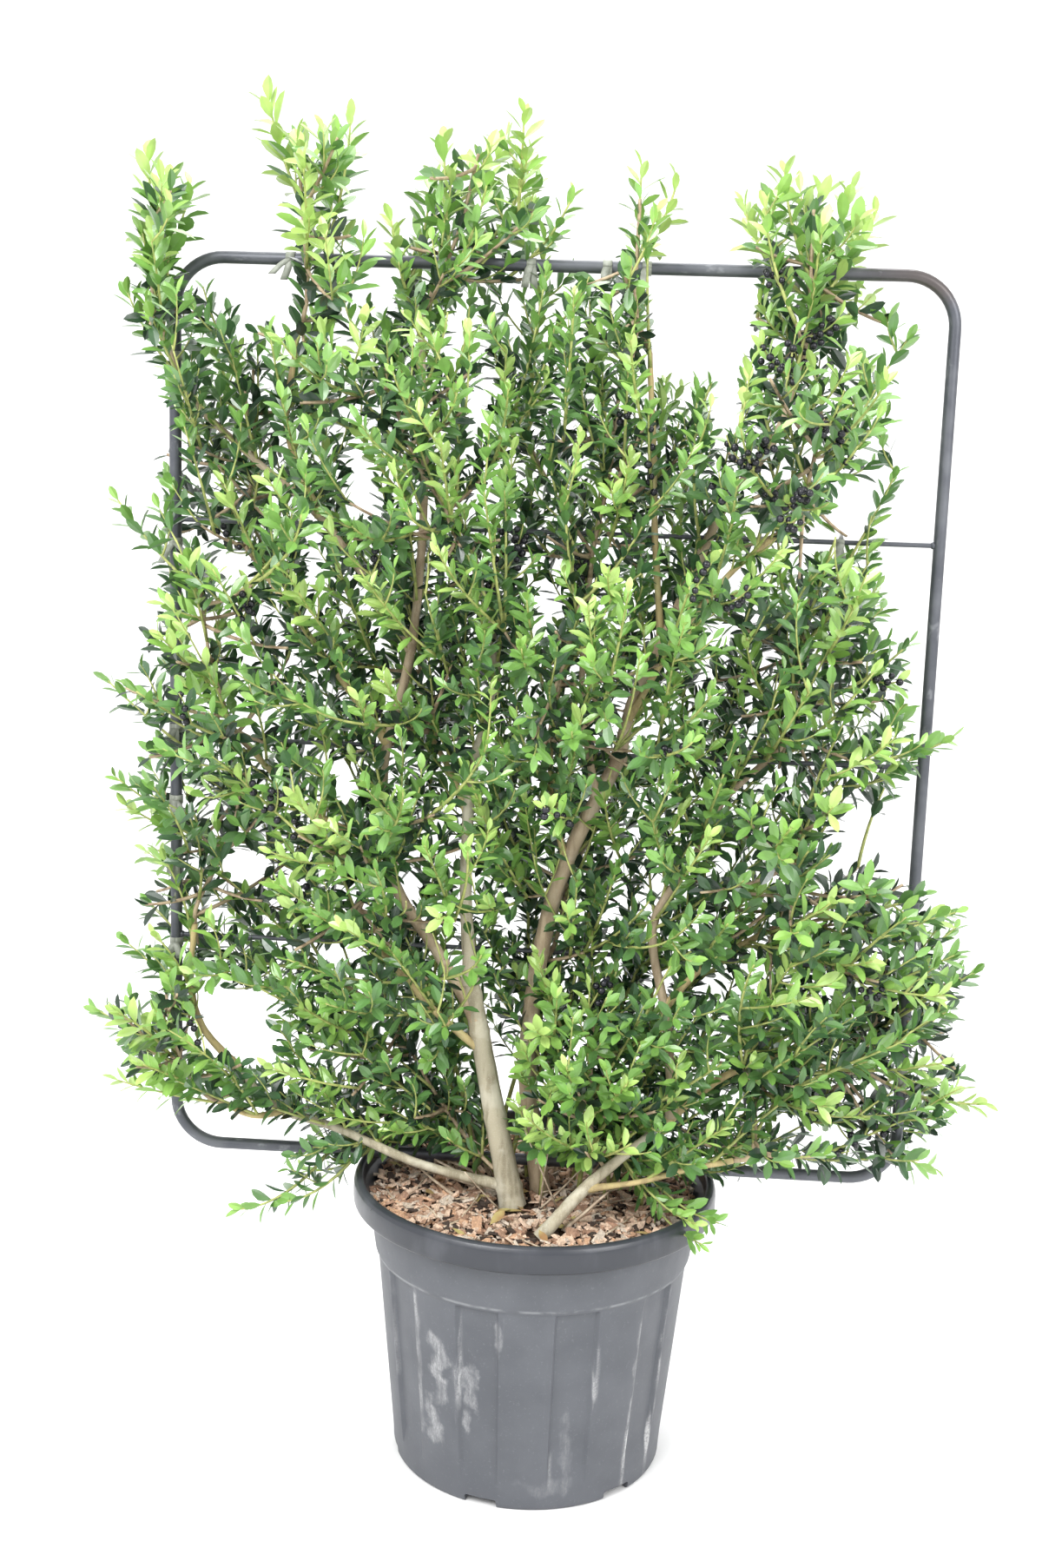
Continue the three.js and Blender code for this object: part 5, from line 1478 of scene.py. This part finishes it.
ties = {
    "places": [(-476, 1394), (-476, 1168), (-476, 934), (-476, 842), (-476, 769), (-476, 655),
               (-334, 1512), (-43, 1512), (48, 1512), (95, 1512), (282, 1512), (463, 540),
               (252, 1196), (343, 1196)],
    "halfWidth": 5.5, "endHalfWidth": 4.6, "thickness": 0.6, "slack": 0.9, "steps": 16,
    "stray": 6, "forward": (2, 8), "down": (16, 30), "apart": 4,  # how the two ends hang
    "colours": ((0.24, 0.255, 0.215), (0.37, 0.385, 0.335)),
}


def addTies():
    random = np.random.default_rng(3)
    out, sideways, bands = np.array([0, -1.0, 0]), np.array([1.0, 0, 0]), []
    for x, z in ties["places"]:
        upright = x in (steel["left"], steel["right"])
        held = steel["rod"] if z in steel["rods"] else steel["tube"]
        centre = np.array([x, steel["y"], z], float)
        axis = np.array([0, 0, 1.0]) if upright else sideways
        side = np.cross(axis, out)
        turn = np.linspace(0, 2 * math.pi, ties["steps"] + 1)[:, None]
        ring = centre + (out * np.cos(turn) + side * np.sin(turn)) * (held + ties["slack"])
        bands.append((ring, axis, ties["halfWidth"]))
        for k in (-1, 1):
            start = centre + out * (held + 1)
            stray, forward, down = (random.normal(0, ties["stray"]), random.uniform(*ties["forward"]),
                                    random.uniform(*ties["down"]))
            drop = np.array([stray, -forward, -down])
            middle = start + drop * (0.2, 1, 0.2) + (k * ties["apart"], 0, 0)
            end = start + drop + (k * ties["apart"], 0, 0)
            bands.append((bentTwig(start, middle, end, 5), sideways, ties["endHalfWidth"]))
    points, faces, base = [], [], 0
    for line, axis, half in bands:
        points.append(np.stack([line - axis * half, line + axis * half], 1).reshape(-1, 3))
        k = base + 2 * np.arange(len(line) - 1)
        faces.append(np.stack([k, k + 1, k + 3, k + 2], 1))
        base += 2 * len(line)
    thing = makeMesh("tie_tapes", np.vstack(points), np.vstack(faces))
    modify(thing, "SOLIDIFY", thickness=ties["thickness"] * mm, offset=0)
    graph = Graph("tapePlastic")
    colour = graph.mix(graph.noise(90, 3).ramp(0.4, 0.7), *ties["colours"])
    dress(thing, graph.finish(colour, 0.55, Normal=graph.grain(250, 2, 0.3, 0.0006)), "plastic")
    print("stage: ties")


addFrame()
addTies()
